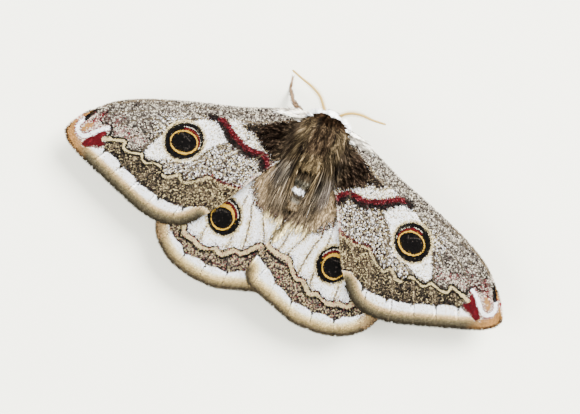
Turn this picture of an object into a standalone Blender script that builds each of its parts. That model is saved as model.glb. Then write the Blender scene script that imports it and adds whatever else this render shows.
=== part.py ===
"""Emperor moth, a female at rest with its wings spread, life size.

The head points to -Y, the moth's left is +X, +Z is up and the floor is at z = 0.
Sizes are written in millimetres, and each mesh is scaled to metres once, when its object is made.
"""

import math
import random

import bmesh
import bpy
from mathutils import Matrix, Vector
from mathutils.geometry import delaunay_2d_cdt

MM = 0.001
GAP = 0.3
THORAX_AHEAD = 7.76  # the thorax's middle stands this far ahead of the origin, below the middle of the whole
SIDES = {"left": 1, "right": -1}

# Thorax: the solid core under the coat
THORAX_CENTRE = Vector((0.0, -0.4, 7.4))
THORAX_RADII = Vector((3.4, 4.9, 3.7))

# Head, tucked under the front of the thorax
HEAD_CENTRE = Vector((0.0, -4.8, 5.8))
HEAD_RADII = Vector((1.7, 1.45, 1.7))
EYE_RADIUS = 0.95
EYE_OFFSET = Vector((1.55, -0.25, 0.1))
PALP_ROOT = Vector((0.5, -5.5, 4.8))
PALP_TIP = Vector((0.65, -6.3, 4.0))
PALP_RADIUS = 0.42

# Abdomen, from the thorax back to its blunt end under the hindwings
ABDOMEN_START = Vector((0.0, 3.0, 6.0))
ABDOMEN_END = Vector((0.0, 17.2, 3.3))
ABDOMEN_RADIUS = 3.3
ABDOMEN_SAG = 0.65
ABDOMEN_SEGMENTS = 7
ABDOMEN_GROOVE = 0.07

# Wings: points of each outline, as distance from the midline and distance behind the thorax's middle
WING_THICKNESS = 0.5
FOREWING_OUTLINE = (
    (2.3, -4.0), (4.6, -4.3), (7.0, -3.5), (13.3, -1.0), (18.2, 0.5), (24.0, 2.5), (28.0, 4.2),
    (31.0, 6.0), (33.4, 8.4), (35.0, 10.6), (35.8, 12.3), (35.2, 13.5), (33.5, 14.6), (30.4, 15.8),
    (25.5, 17.5), (21.5, 18.8), (18.5, 19.35), (16.0, 19.2), (13.8, 18.3), (12.0, 16.5),
    (10.2, 14.0), (8.6, 11.2), (7.2, 8.4), (5.2, 5.0), (3.2, 2.2), (1.4, 0.4),
)
HINDWING_OUTLINE = (
    (1.2, 1.6), (4.4, 1.2), (8.2, 3.6), (12.6, 8.2), (16.4, 13.6), (18.3, 18.2), (18.2, 20.2),
    (17.2, 21.9), (15.8, 23.2), (14.0, 24.2), (12.0, 24.8), (9.5, 25.1), (7.0, 25.1), (4.9, 24.5),
    (2.8, 23.8), (0.6, 23.1), (-1.0, 22.6), (-2.1, 21.6), (-2.3, 20.5), (-2.0, 19.0), (-1.5, 17.0),
    (-0.8, 14.2), (0.3, 10.6), (1.3, 7.4), (1.5, 5.0), (0.9, 3.6),
)
OUTLINE_STEPS = 2
INNER_SPACING = 2.0

# Main veins, raised as ridges on the wings' upper faces, each from its root to the margin
VEIN_HEIGHT = 0.2
VEIN_HALF_WIDTH = 0.42
VEIN_STEP = 1.9
VEIN_END_GAP = 0.5
FOREWING_VEINS = (
    ((4.4, -3.3), (12.0, -0.5), (20.0, 1.8), (26.6, 4.3)),
    ((4.4, -2.2), (9.5, -0.2), (14.5, 1.5), (20.4, 4.5), (24.3, 8.2), (27.0, 10.5), (30.3, 15.4)),
    ((15.8, 1.7), (22.5, 3.6), (28.5, 6.4), (31.6, 8.3), (34.7, 11.4)),
    ((21.6, 4.8), (26.3, 6.8), (29.6, 9.8), (33.3, 14.3)),
    ((4.6, -0.8), (8.4, 2.4), (12.6, 6.4), (17.2, 9.7), (20.8, 11.8), (22.9, 15.7), (23.7, 17.8)),
    ((20.6, 9.8), (23.9, 11.4), (26.1, 14.7), (27.0, 16.8)),
    ((14.2, 7.9), (17.4, 11.8), (19.6, 16.5), (20.1, 18.9)),
    ((10.6, 5.0), (13.6, 10.4), (15.4, 16.3), (15.8, 18.8)),
    ((4.6, 0.9), (8.0, 5.8), (10.8, 11.0), (12.9, 16.6)),
)
HINDWING_VEINS = (
    ((5.0, 2.6), (9.0, 6.6), (12.6, 12.6), (15.2, 18.6), (16.7, 22.0)),
    ((6.0, 4.6), (9.2, 10.0), (11.7, 17.0), (13.2, 24.0)),
    ((4.6, 4.2), (7.2, 10.0), (8.5, 18.0), (9.3, 24.7)),
    ((3.6, 4.6), (5.7, 10.8), (6.0, 17.5), (5.8, 24.4)),
    ((2.7, 5.0), (3.9, 11.0), (3.3, 16.4), (2.2, 23.1)),
    ((2.0, 6.0), (1.9, 10.8), (0.6, 16.0), (-0.8, 22.1)),
)

# Height of the wings' middle surface, and how the hindwings lie under the forewings and over each other,
# both swung to the moth's right, by a share of the distance behind the root
ROOT_X = 3.5
FOREWING_ROOT_Z = 9.2
DROOP = 0.055
CURL = 0.0008
PITCH = 0.03
HINDWING_BELOW = 1.2
HINDWING_LAP = {"left": 0.0, "right": 1.25}
HINDWING_SWING = {"left": 0.044, "right": 0.01}
SWING_ROOT_Y = 3.0
LAP_INNER_X, LAP_OUTER_X = 1.5, 7.5
LAP_FRONT_Y, LAP_BACK_Y = 6.5, 11.0
MARGIN_ROLL = 0.2
MARGIN_ROLL_WIDTH = 2.2

# Antennae: the centre line of each, root to tip
ANTENNA_LINES = {
    "left": (
        (0.8, -5.6, 6.7), (1.5, -6.0, 7.45), (2.3, -6.95, 7.8), (3.2, -7.7, 7.9),
        (4.7, -8.35, 7.85), (6.3, -8.8, 7.75), (8.2, -9.4, 7.5),
    ),
    "right": (
        (0.8, -5.6, 6.7), (1.3, -6.15, 7.45), (2.0, -6.75, 7.75), (3.0, -7.2, 7.9),
        (4.3, -7.4, 7.9), (5.8, -7.38, 7.8), (7.9, -7.62, 7.5),
    ),
}
ANTENNA_RADIUS = 0.26
ANTENNA_TIP_RADIUS = 0.1

# Comb teeth on both sides of each antenna, longest a third of the way along
TEETH_PER_SIDE = 15
TOOTH_LENGTH = 0.62
TOOTH_RADIUS = 0.2
TOOTH_TIP_RADIUS = 0.06
TEETH_START, TEETH_END = 0.14, 0.93

# Locks of the coat: flat, tapered, laid backwards in rows that overlap
LOCK_CUTS = 3
LOCK_SINK = 0.7
LOCK_LIFT = 0.95
LOCK_JITTER = 0.16
LOCK_SEED = 5
THORAX_LOCK_LENGTH, THORAX_LOCK_WIDTH, THORAX_LOCK_THICKNESS = 3.4, 1.7, 0.75
THORAX_ROWS = 7
THORAX_FIRST_ROW, THORAX_LAST_ROW = 32.0, 136.0
THORAX_ROW_HALF_FAN = 76.0
THORAX_LOCK_PITCH = 1.35
ROW_LOWEST_Z = 9.0
COLLAR_LOCKS = 9
COLLAR_HALF_FAN = 58.0
COLLAR_LATITUDE = 27.0
COLLAR_LENGTH, COLLAR_WIDTH, COLLAR_THICKNESS = 1.4, 1.15, 0.6
SHOULDER_LOCKS = 5
SHOULDER_LENGTH = 3.4
SHOULDER_WIDTH, SHOULDER_THICKNESS = 1.7, 0.65
BACK_LATITUDE, BACK_LENGTHENING = 100.0, 0.5
BREAST_ROWS = 5
BREAST_LOCK_LENGTH = 2.0
ABDOMEN_LOCK_LENGTH, ABDOMEN_LOCK_WIDTH, ABDOMEN_LOCK_THICKNESS = 2.3, 1.35, 0.55
ABDOMEN_LOCKS_PER_RING = 9
ABDOMEN_LOCK_RINGS = 6
ABDOMEN_LOCK_LOW_FAN = 128.0
TAIL_LOCKS = 8
FACE_LOCKS = 7

# Legs: hip, knee, ankle, heel and toe of each, with the foot flat on the floor
FOOT_HEIGHT = 0.16
LEG_RADII = (0.75, 0.65, 0.45, 0.28, 0.25)
LEG_LINES = {
    "foreleg_left": (
        (1.2, -2.9, 4.9), (4.0, -4.0, 4.6), (6.4, -5.5, 3.2),
        (7.6, -7.3, FOOT_HEIGHT), (7.95, -9.1, FOOT_HEIGHT),
    ),
    "foreleg_right": (
        (1.2, -2.9, 4.9), (3.7, -3.4, 4.6), (5.6, -3.0, 3.0),
        (6.2, -3.0, FOOT_HEIGHT), (7.9, -2.8, FOOT_HEIGHT),
    ),
    "midleg_left": (
        (2.2, -0.9, 5.3), (4.6, -1.2, 5.6), (7.8, -1.4, 3.6),
        (8.9, -1.6, FOOT_HEIGHT), (11.0, -2.2, FOOT_HEIGHT),
    ),
    "midleg_right": (
        (2.2, -0.9, 5.3), (4.6, -1.0, 5.6), (7.6, -0.8, 3.6),
        (8.7, -0.9, FOOT_HEIGHT), (10.8, -1.2, FOOT_HEIGHT),
    ),
    "hindleg_left": (
        (2.0, 1.8, 5.2), (4.4, 3.4, 5.4), (6.6, 6.6, 3.4),
        (7.4, 8.0, FOOT_HEIGHT), (8.4, 10.2, FOOT_HEIGHT),
    ),
    "hindleg_right": (
        (2.0, 1.8, 5.2), (4.4, 3.2, 5.4), (6.9, 6.0, 3.4),
        (7.9, 7.3, FOOT_HEIGHT), (9.2, 9.3, FOOT_HEIGHT),
    ),
}

# Colour and roughness of each material
COLOURS = {
    "brown_coat": ((0.16, 0.105, 0.07), 0.9),
    "grey_coat": ((0.36, 0.31, 0.27), 0.9),
    "forewing_scales": ((0.47, 0.43, 0.41), 0.8),
    "hindwing_scales": ((0.62, 0.56, 0.5), 0.8),
    "eye_dark": ((0.02, 0.016, 0.012), 0.25),
    "antenna_straw": ((0.72, 0.55, 0.32), 0.6),
    "leg_brown": ((0.34, 0.2, 0.14), 0.75),
}


def clear_scene():
    """Empties the scene of every object."""
    for item in list(bpy.data.objects):
        bpy.data.objects.remove(item, do_unlink=True)


def material(name):
    """The named material, made the first time it is asked for."""
    found = bpy.data.materials.get(name)
    if found:
        return found
    colour, roughness = COLOURS[name]
    made = bpy.data.materials.new(name)
    made.use_nodes = True
    shader = made.node_tree.nodes["Principled BSDF"]
    shader.inputs["Base Color"].default_value = (*colour, 1.0)
    shader.inputs["Roughness"].default_value = roughness
    shader.inputs["Metallic"].default_value = 0.0
    return made


def smoothstep(low, high, value):
    """0 below low, 1 above high, and a smooth rise between."""
    share = min(1.0, max(0.0, (value - low) / (high - low)))
    return share * share * (3.0 - 2.0 * share)


def object_from(bm, name, collection):
    """An object, still in millimetres, that takes the bmesh with its faces turned outwards."""
    bmesh.ops.recalc_face_normals(bm, faces=bm.faces[:])
    if bm.calc_volume(signed=True) < 0.0:
        bmesh.ops.reverse_faces(bm, faces=bm.faces[:])
    mesh = bpy.data.meshes.new(name)
    bm.to_mesh(mesh)
    bm.free()
    made = bpy.data.objects.new(name, mesh)
    collection.objects.link(made)
    return made


def apply_modifier(item, modifier):
    """Applies one modifier by reading the evaluated mesh."""
    graph = bpy.context.evaluated_depsgraph_get()
    mesh = bpy.data.meshes.new_from_object(item.evaluated_get(graph))
    item.modifiers.remove(modifier)
    old = item.data
    item.data = mesh
    bpy.data.meshes.remove(old)


def keep_largest(item):
    """Keeps only the largest closed surface of a mesh."""
    bm = bmesh.new()
    bm.from_mesh(item.data)
    bmesh.ops.remove_doubles(bm, verts=bm.verts[:], dist=0.001)
    left = set(bm.faces)
    shells = []
    while left:
        shell, front = set(), [left.pop()]
        while front:
            face = front.pop()
            shell.add(face)
            for edge in face.edges:
                for other in edge.link_faces:
                    if other in left:
                        left.remove(other)
                        front.append(other)
        shells.append(shell)
    shells.sort(key=lambda faces: sum(face.calc_area() for face in faces))
    for shell in shells[:-1]:
        bmesh.ops.delete(bm, geom=list(shell), context="FACES")
    bm.to_mesh(item.data)
    bm.free()


def boolean(item, cutter, operation):
    """Cuts or joins item with another closed mesh object and applies the result."""
    modifier = item.modifiers.new("cut", "BOOLEAN")
    modifier.operation = operation
    modifier.object = cutter
    modifier.solver = "EXACT"
    apply_modifier(item, modifier)
    keep_largest(item)


def shade(item, angle=50.0):
    """Smooth shading that keeps edges sharper than the angle."""
    item.data.shade_smooth()
    item.data.set_sharp_from_angle(angle=math.radians(angle))


def ellipsoid(name, centre, radii, collection, segments=24, rings=14, grow=0.0):
    """A closed ellipsoid with its poles along Y, grown outwards by a distance."""
    bm = bmesh.new()
    bmesh.ops.create_uvsphere(bm, u_segments=segments, v_segments=rings, radius=1.0)
    turn = Matrix.Rotation(math.radians(90.0), 4, "X")
    size = Matrix.Diagonal((radii.x + grow, radii.y + grow, radii.z + grow, 1.0))
    bm.transform(Matrix.Translation(centre) @ size @ turn)
    return object_from(bm, name, collection)


def smooth_line(points, steps, closed=False):
    """Points read from a Catmull-Rom curve through the given ones."""
    line = [Vector(point) for point in points]
    count = len(line)
    spans = count if closed else count - 1
    found = []
    for span in range(spans):
        if closed:
            before, start, end, after = (line[(span + k) % count] for k in (-1, 0, 1, 2))
        else:
            before, start = line[max(span - 1, 0)], line[span]
            end, after = line[span + 1], line[min(span + 2, count - 1)]
        for step in range(steps):
            s = step / steps
            found.append(
                0.5 * (2.0 * start + (end - before) * s
                       + (2.0 * before - 5.0 * start + 4.0 * end - after) * s ** 2
                       + (3.0 * start - before - 3.0 * end + after) * s ** 3)
            )
    if not closed:
        found.append(line[-1])
    return found


def tube(name, line, radii, collection, sides_level=2):
    """A closed round tube along a line, with a radius at each point."""
    curve = bpy.data.curves.new(name, "CURVE")
    curve.dimensions = "3D"
    curve.bevel_depth = 1.0
    curve.bevel_resolution = sides_level
    curve.use_fill_caps = True
    spline = curve.splines.new("POLY")
    spline.points.add(len(line) - 1)
    for point, place, radius in zip(spline.points, line, radii):
        point.co = (*place, 1.0)
        point.radius = radius
    guide = bpy.data.objects.new(name, curve)
    collection.objects.link(guide)
    graph = bpy.context.evaluated_depsgraph_get()
    mesh = bpy.data.meshes.new_from_object(guide.evaluated_get(graph))
    bpy.data.objects.remove(guide)
    bpy.data.curves.remove(curve)
    bm = bmesh.new()
    bm.from_mesh(mesh)
    bpy.data.meshes.remove(mesh)
    bmesh.ops.remove_doubles(bm, verts=bm.verts[:], dist=0.001)
    return object_from(bm, name, collection)


def spread_radii(radii, count):
    """As many radii as there are points, read evenly from the given ones."""
    last = len(radii) - 1
    found = []
    for index in range(count):
        place = index / (count - 1) * last
        low = min(int(place), last - 1)
        found.append(radii[low] + (radii[low + 1] - radii[low]) * (place - low))
    return found


def union(item, pieces):
    """Joins closed mesh objects to item with one Boolean and removes them."""
    group = bpy.data.collections.new(item.name + "_pieces")
    bpy.context.scene.collection.children.link(group)
    for piece in pieces:
        for other in list(piece.users_collection):
            other.objects.unlink(piece)
        group.objects.link(piece)
    modifier = item.modifiers.new("join", "BOOLEAN")
    modifier.operation = "UNION"
    modifier.operand_type = "COLLECTION"
    modifier.collection = group
    modifier.solver = "EXACT"
    apply_modifier(item, modifier)
    for piece in list(group.objects):
        bpy.data.objects.remove(piece, do_unlink=True)
    bpy.data.collections.remove(group)
    keep_largest(item)


def taper(share):
    """Width of a lock along its length, from its root to its tip, as a share of the widest."""
    return max(0.14, (1.0 - share) ** 0.65 * min(1.0, 0.7 + 1.6 * share))


def lock(name, spine, across, width, thickness, collection):
    """A flat lock that tapers along its spine; across holds its sideways direction at each point."""
    bm = bmesh.new()
    bmesh.ops.create_cone(bm, cap_ends=True, segments=4, radius1=1.0, radius2=1.0, depth=1.0)
    long_edges = [edge for edge in bm.edges if abs(edge.verts[0].co.z - edge.verts[1].co.z) > 0.5]
    bmesh.ops.subdivide_edges(bm, edges=long_edges, cuts=LOCK_CUTS, use_grid_fill=True)
    last = len(spine) - 1
    for vert in bm.verts:
        share = min(1.0, max(0.0, vert.co.z + 0.5))
        index = min(int(share * last), last - 1)
        middle = spine[index].lerp(spine[index + 1], share * last - index)
        forward = (spine[index + 1] - spine[index]).normalized()
        sideways = across[index].lerp(across[index + 1], share * last - index)
        sideways = (sideways - forward * sideways.dot(forward)).normalized()
        up = sideways.cross(forward)
        size = taper(share)
        aside = vert.co.x * 0.5 * width * size
        above = vert.co.y * 0.5 * thickness * size
        vert.co = middle + sideways * aside + up * above
    return object_from(bm, name, collection)


def abdomen_middle(share):
    """Centre line of the abdomen, from its front at 0 to its tip at 1."""
    middle = ABDOMEN_START.lerp(ABDOMEN_END, share)
    middle.z -= ABDOMEN_SAG * math.sin(math.pi * share)
    return middle


def abdomen_radius(share):
    """Radius of the abdomen between its grooves."""
    return ABDOMEN_RADIUS * math.sin(math.pi * min(1.0, max(0.0, share))) ** 0.55 * (1.0 - 0.18 * share)


FOREWING_REACH = smooth_line(FOREWING_OUTLINE, 1, closed=True)
HINDWING_REACH = smooth_line(HINDWING_OUTLINE, 1, closed=True)


def top_below_coat(x, y):
    """Height of the highest wing or abdomen surface under a point of the coat."""
    flat = Vector((abs(x), y))
    found = 0.0
    if inside(flat, FOREWING_REACH):
        found = forewing_height(flat.x, y) + 0.5 * WING_THICKNESS + VEIN_HEIGHT
    for word, side in SIDES.items():
        own = Vector((side * (x + HINDWING_SWING[word] * max(0.0, y - SWING_ROOT_Y)), y))
        if inside(own, HINDWING_REACH):
            found = max(found, hindwing_height(own.x, y, word) + 0.5 * WING_THICKNESS + VEIN_HEIGHT)
    share = (y - ABDOMEN_START.y) / (ABDOMEN_END.y - ABDOMEN_START.y)
    if 0.0 < share < 1.0 and abs(x) < abdomen_radius(share):
        found = max(found, abdomen_middle(share).z + math.sqrt(abdomen_radius(share) ** 2 - x * x))
    return found


def lifted(spine, across, width, thickness):
    """The spine, raised wherever the lock would come near a wing or the abdomen."""
    found = []
    for point, sideways in zip(spine, across):
        reach = [point + sideways * (0.5 * width * k) for k in (-1.0, 0.0, 1.0)]
        top = max(top_below_coat(p.x, p.y) for p in reach)
        lowest = top + GAP + 0.62 * thickness if top > 0.0 else 0.0
        found.append(Vector((point.x, point.y, max(point.z, lowest))))
    return found


def thorax_point(latitude, around):
    """A point of the thorax and its outward direction, by degrees from the front and around from the top."""
    polar, turn = math.radians(latitude), math.radians(around)
    unit = Vector((math.sin(polar) * math.sin(turn), -math.cos(polar), math.sin(polar) * math.cos(turn)))
    point = THORAX_CENTRE + Vector((a * b for a, b in zip(unit, THORAX_RADII)))
    normal = Vector((a / b for a, b in zip(unit, THORAX_RADII))).normalized()
    return point, normal


def laid_spine(root, normal, lie, length, lift, hug):
    """A line from inside the thorax out along the lie, bent to the core while within hug radii of it."""
    steps = LOCK_CUTS + 1
    spine = [root - normal * LOCK_SINK - lie * 0.3]
    place = root.copy()
    for step in range(1, steps + 1):
        place = place + lie * (length / steps)
        local = Vector((a / b for a, b in zip(place - THORAX_CENTRE, THORAX_RADII)))
        if local.length < hug:
            local = local.normalized()
            place = THORAX_CENTRE + Vector((a * b for a, b in zip(local, THORAX_RADII)))
        outward = Vector((a / b for a, b in zip(local, THORAX_RADII))).normalized()
        spine.append(place + outward * lift * min(1.0, step / 2.0))
    return spine


def thorax_locks(collection):
    """Locks of the thorax: rows laid backwards, a collar in front, shoulder tufts and the breast."""
    draw = random.Random(LOCK_SEED)
    made = []

    def add(root, normal, lie, length, width, thickness, lift=LOCK_LIFT, clear=True, behind=0.0):
        lie = (lie - normal * lie.dot(normal) * (1.0 - behind)).normalized()
        spine = laid_spine(root, normal, lie, length, lift, 1.25 - 0.25 * behind)
        sideways = normal.cross(lie).normalized()
        across = [sideways] * len(spine)
        if clear:
            spine = spine[:1] + lifted(spine[1:], across[1:], width, thickness)
        made.append(lock(f"lock_{len(made)}", spine, across, width, thickness, collection))

    for row in range(THORAX_ROWS):
        latitude = THORAX_FIRST_ROW + (THORAX_LAST_ROW - THORAX_FIRST_ROW) * row / (THORAX_ROWS - 1)
        arc = math.radians(2.0 * THORAX_ROW_HALF_FAN) * THORAX_RADII.x * math.sin(math.radians(latitude))
        count = max(3, round(arc / THORAX_LOCK_PITCH))
        for index in range(count):
            share = (index + 0.5 * (row % 2) + 0.25) / count - 0.5
            around = 2.0 * THORAX_ROW_HALF_FAN * share + draw.uniform(-3.0, 3.0)
            root, normal = thorax_point(latitude, around)
            edge = max(top_below_coat(root.x + k * 0.5 * THORAX_LOCK_WIDTH, root.y) for k in (-1.0, 0.0, 1.0))
            if root.z < max(edge, ROW_LOWEST_Z) + GAP:
                continue
            out = 0.55 * math.sin(math.radians(around))
            lie = Vector((out + draw.uniform(-LOCK_JITTER, LOCK_JITTER), 1.0, 0.0))
            behind = smoothstep(BACK_LATITUDE, THORAX_LAST_ROW, latitude)
            lie.z = -0.45 * behind
            length = THORAX_LOCK_LENGTH * draw.uniform(0.9, 1.1) * (1.0 + BACK_LENGTHENING * behind)
            add(root, normal, lie, length, THORAX_LOCK_WIDTH, THORAX_LOCK_THICKNESS, behind=behind)

    for index in range(COLLAR_LOCKS):
        around = COLLAR_HALF_FAN * (2.0 * index / (COLLAR_LOCKS - 1) - 1.0)
        root, normal = thorax_point(COLLAR_LATITUDE, around)
        tip = root + (Vector((0.7 * math.sin(math.radians(around)), -1.0, 0.15)) * COLLAR_LENGTH)
        steps = LOCK_CUTS + 1
        start = root - normal * LOCK_SINK
        bow = Vector((0.0, 0.0, 0.4))
        spine = [start.lerp(tip, k / steps) + bow * math.sin(math.pi * k / steps) for k in range(steps + 1)]
        sideways = (tip - start).cross(normal).normalized()
        across = [sideways] * len(spine)
        made.append(lock(f"collar_{index}", spine, across, COLLAR_WIDTH, COLLAR_THICKNESS, collection))

    for side in SIDES.values():
        for index in range(SHOULDER_LOCKS):
            root, normal = thorax_point(44.0 + 17.0 * index, side * 38.0)
            lie = Vector((side * 1.0, -0.15 + 0.4 * index, -0.15)).normalized()
            spine = [root - normal * LOCK_SINK]
            for step in range(1, LOCK_CUTS + 2):
                spine.append(root + normal * 0.3 + lie * (SHOULDER_LENGTH * step / (LOCK_CUTS + 1)))
            across = [Vector((0.0, 0.0, 1.0)).cross(lie).normalized()] * len(spine)
            spine = spine[:1] + lifted(spine[1:], across[1:], SHOULDER_WIDTH, SHOULDER_THICKNESS)
            name = f"shoulder_{side}_{index}"
            made.append(lock(name, spine, across, SHOULDER_WIDTH, SHOULDER_THICKNESS, collection))

    for row in range(BREAST_ROWS):
        for around in ((180.0,), (170.0, 190.0))[row % 2]:
            root, normal = thorax_point(50.0 + 15.0 * row, around + draw.uniform(-2.0, 2.0))
            lie = Vector((draw.uniform(-0.1, 0.1), 1.0, 0.0))
            add(root, normal, lie, BREAST_LOCK_LENGTH, 0.5 * THORAX_LOCK_WIDTH, 0.6, lift=0.4, clear=False)
    return made


def abdomen_locks(collection):
    """Short locks in a ring behind each segment's edge, below the wings, and a tuft at the tip."""
    draw = random.Random(LOCK_SEED + 1)
    made = []
    steps = LOCK_CUTS + 1
    length = (ABDOMEN_END - ABDOMEN_START).length
    for ring in range(ABDOMEN_LOCK_RINGS):
        at = 0.2 + 0.72 * ring / ABDOMEN_LOCK_RINGS
        for index in range(ABDOMEN_LOCKS_PER_RING):
            spread = 2.0 * (index + 0.5 * (ring % 2) + 0.25) / ABDOMEN_LOCKS_PER_RING - 1.0
            turn = math.radians(180.0 + ABDOMEN_LOCK_LOW_FAN * spread + draw.uniform(-3.0, 3.0))
            radial = Vector((math.sin(turn), 0.0, math.cos(turn)))
            reach = ABDOMEN_LOCK_LENGTH * draw.uniform(0.9, 1.1) / length
            spine = []
            for step in range(steps + 1):
                share = at + reach * (step / steps - 0.12)
                rise = -LOCK_SINK if step == 0 else 0.3 * min(1.0, step / 2.0)
                spine.append(abdomen_middle(share) + radial * (abdomen_radius(share) + rise))
            across = [radial.cross(Vector((0.0, 1.0, 0.0))).normalized()] * len(spine)
            name = f"ring_{ring}_{index}"
            made.append(lock(name, spine, across, ABDOMEN_LOCK_WIDTH, ABDOMEN_LOCK_THICKNESS, collection))
    for index in range(TAIL_LOCKS):
        turn = math.radians(360.0 * index / TAIL_LOCKS)
        radial = Vector((math.sin(turn), 0.0, math.cos(turn)))
        start = abdomen_middle(0.93) + radial * 0.35 * ABDOMEN_RADIUS
        tip = start + Vector((0.25 * radial.x, 1.0, 0.25 * radial.z - 0.1)) * 1.6
        spine = [start.lerp(tip, k / steps) for k in range(steps + 1)]
        across = [radial.cross(Vector((0.0, 1.0, 0.0))).normalized()] * len(spine)
        made.append(lock(f"tail_{index}", spine, across, 1.0, ABDOMEN_LOCK_THICKNESS, collection))
    return made


def face_locks(collection):
    """Tufts of hair over the front of the head, pointing forwards and down."""
    made = []
    steps = LOCK_CUTS + 1
    for index in range(FACE_LOCKS):
        turn = math.radians(-60.0 + 120.0 * index / (FACE_LOCKS - 1))
        radial = Vector((math.sin(turn), 0.0, math.cos(turn)))
        start = HEAD_CENTRE + Vector((0.5 * radial.x, -1.0, 0.5 * radial.z))
        tip = start + Vector((0.7 * radial.x, -0.75, 0.35 * radial.z - 0.45))
        spine = [start.lerp(tip, k / steps) for k in range(steps + 1)]
        across = [radial.cross(Vector((0.0, -1.0, 0.0))).normalized()] * len(spine)
        made.append(lock(f"face_{index}", spine, across, 0.9, 0.55, collection))
    return made


def antenna_teeth(path, radii, collection):
    """The comb: short tapered teeth on both sides of an antenna's centre line."""
    made = []
    for index in range(TEETH_PER_SIDE):
        share = TEETH_START + (TEETH_END - TEETH_START) * index / (TEETH_PER_SIDE - 1)
        at = share * (len(path) - 1)
        low = min(int(at), len(path) - 2)
        base = path[low].lerp(path[low + 1], at - low)
        forward = (path[low + 1] - path[low]).normalized()
        radius = radii[low]
        sideways = forward.cross(Vector((0.0, 0.0, 1.0))).normalized()
        length = TOOTH_LENGTH * (0.55 + 0.45 * math.sin(math.pi * min(1.0, 1.25 * share + 0.1)))
        for way in (-1.0, 1.0):
            lean = (sideways * way + forward * 0.5 - Vector((0.0, 0.0, 0.25))).normalized()
            line = [base - lean * 0.3 * radius, base + lean * (radius + length)]
            ends = (TOOTH_RADIUS * radius / ANTENNA_RADIUS, TOOTH_TIP_RADIUS)
            made.append(tube(f"tooth_{index}_{way:+.0f}", line, ends, collection, 0))
    return made


def distance_to_line(point, line):
    """Distance from a flat point to a line of points."""
    best = float("inf")
    for start, end in zip(line, line[1:]):
        along = end - start
        share = (point - start).dot(along) / max(along.length_squared, 1e-9)
        near = start + along * min(1.0, max(0.0, share))
        best = min(best, (point - near).length)
    return best


def forewing_height(x, y):
    """Height of the forewing's middle surface, at a distance from the midline and behind the middle."""
    out = x - ROOT_X
    return FOREWING_ROOT_Z - DROOP * out - CURL * out * abs(out) - PITCH * y


def hindwing_height(x, y, side):
    """Height of a hindwing's middle surface, where the right one laps over the left one."""
    inner = 1.0 - smoothstep(LAP_INNER_X, LAP_OUTER_X, x)
    behind = smoothstep(LAP_FRONT_Y, LAP_BACK_Y, y)
    return forewing_height(x, y) - HINDWING_BELOW + HINDWING_LAP[side] * inner * behind


def inside(point, outline):
    """Whether a flat point lies inside a closed line."""
    crossings = 0
    for start, end in zip(outline, outline[1:] + outline[:1]):
        if (start.y > point.y) != (end.y > point.y):
            at = start.x + (point.y - start.y) / (end.y - start.y) * (end.x - start.x)
            crossings += point.x < at
    return crossings % 2 == 1


def evenly(line, step):
    """Points along a line, about a step apart, with both its ends."""
    lengths = [(end - start).length for start, end in zip(line, line[1:])]
    count = max(2, round(sum(lengths) / step))
    found, index, walked = [line[0]], 0, 0.0
    for k in range(1, count):
        target = sum(lengths) * k / count
        while walked + lengths[index] < target:
            walked += lengths[index]
            index += 1
        found.append(line[index].lerp(line[index + 1], (target - walked) / lengths[index]))
    return found + [line[-1]]


def vein_points(veins, closed_outline):
    """The veins' centre points, with the edges between them, and points at the foot of each ridge."""
    centres, feet, chains = [], [], []
    lines = [evenly(smooth_line(vein, 6), VEIN_STEP) for vein in veins]
    for number, line in enumerate(lines):
        others = lines[:number]
        chain = []
        for index, point in enumerate(line):
            if distance_to_line(point, closed_outline) < VEIN_END_GAP:
                continue
            if any(distance_to_line(point, other) < VEIN_HALF_WIDTH for other in others):
                continue
            chain.append(len(centres))
            centres.append(point)
            ahead = line[min(index + 1, len(line) - 1)] - line[max(index - 1, 0)]
            across = Vector((-ahead.y, ahead.x)).normalized() * VEIN_HALF_WIDTH
            feet += [point + across, point - across]
        chains += list(zip(chain, chain[1:]))
    kept = []
    for foot in feet:
        near_vein = min(distance_to_line(foot, line) for line in lines)
        crowded = any((foot - other).length < 0.6 * VEIN_HALF_WIDTH for other in kept)
        if near_vein > 0.8 * VEIN_HALF_WIDTH and not crowded and distance_to_line(foot, closed_outline) > 0.4:
            kept.append(foot)
    return centres, chains, kept


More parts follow.
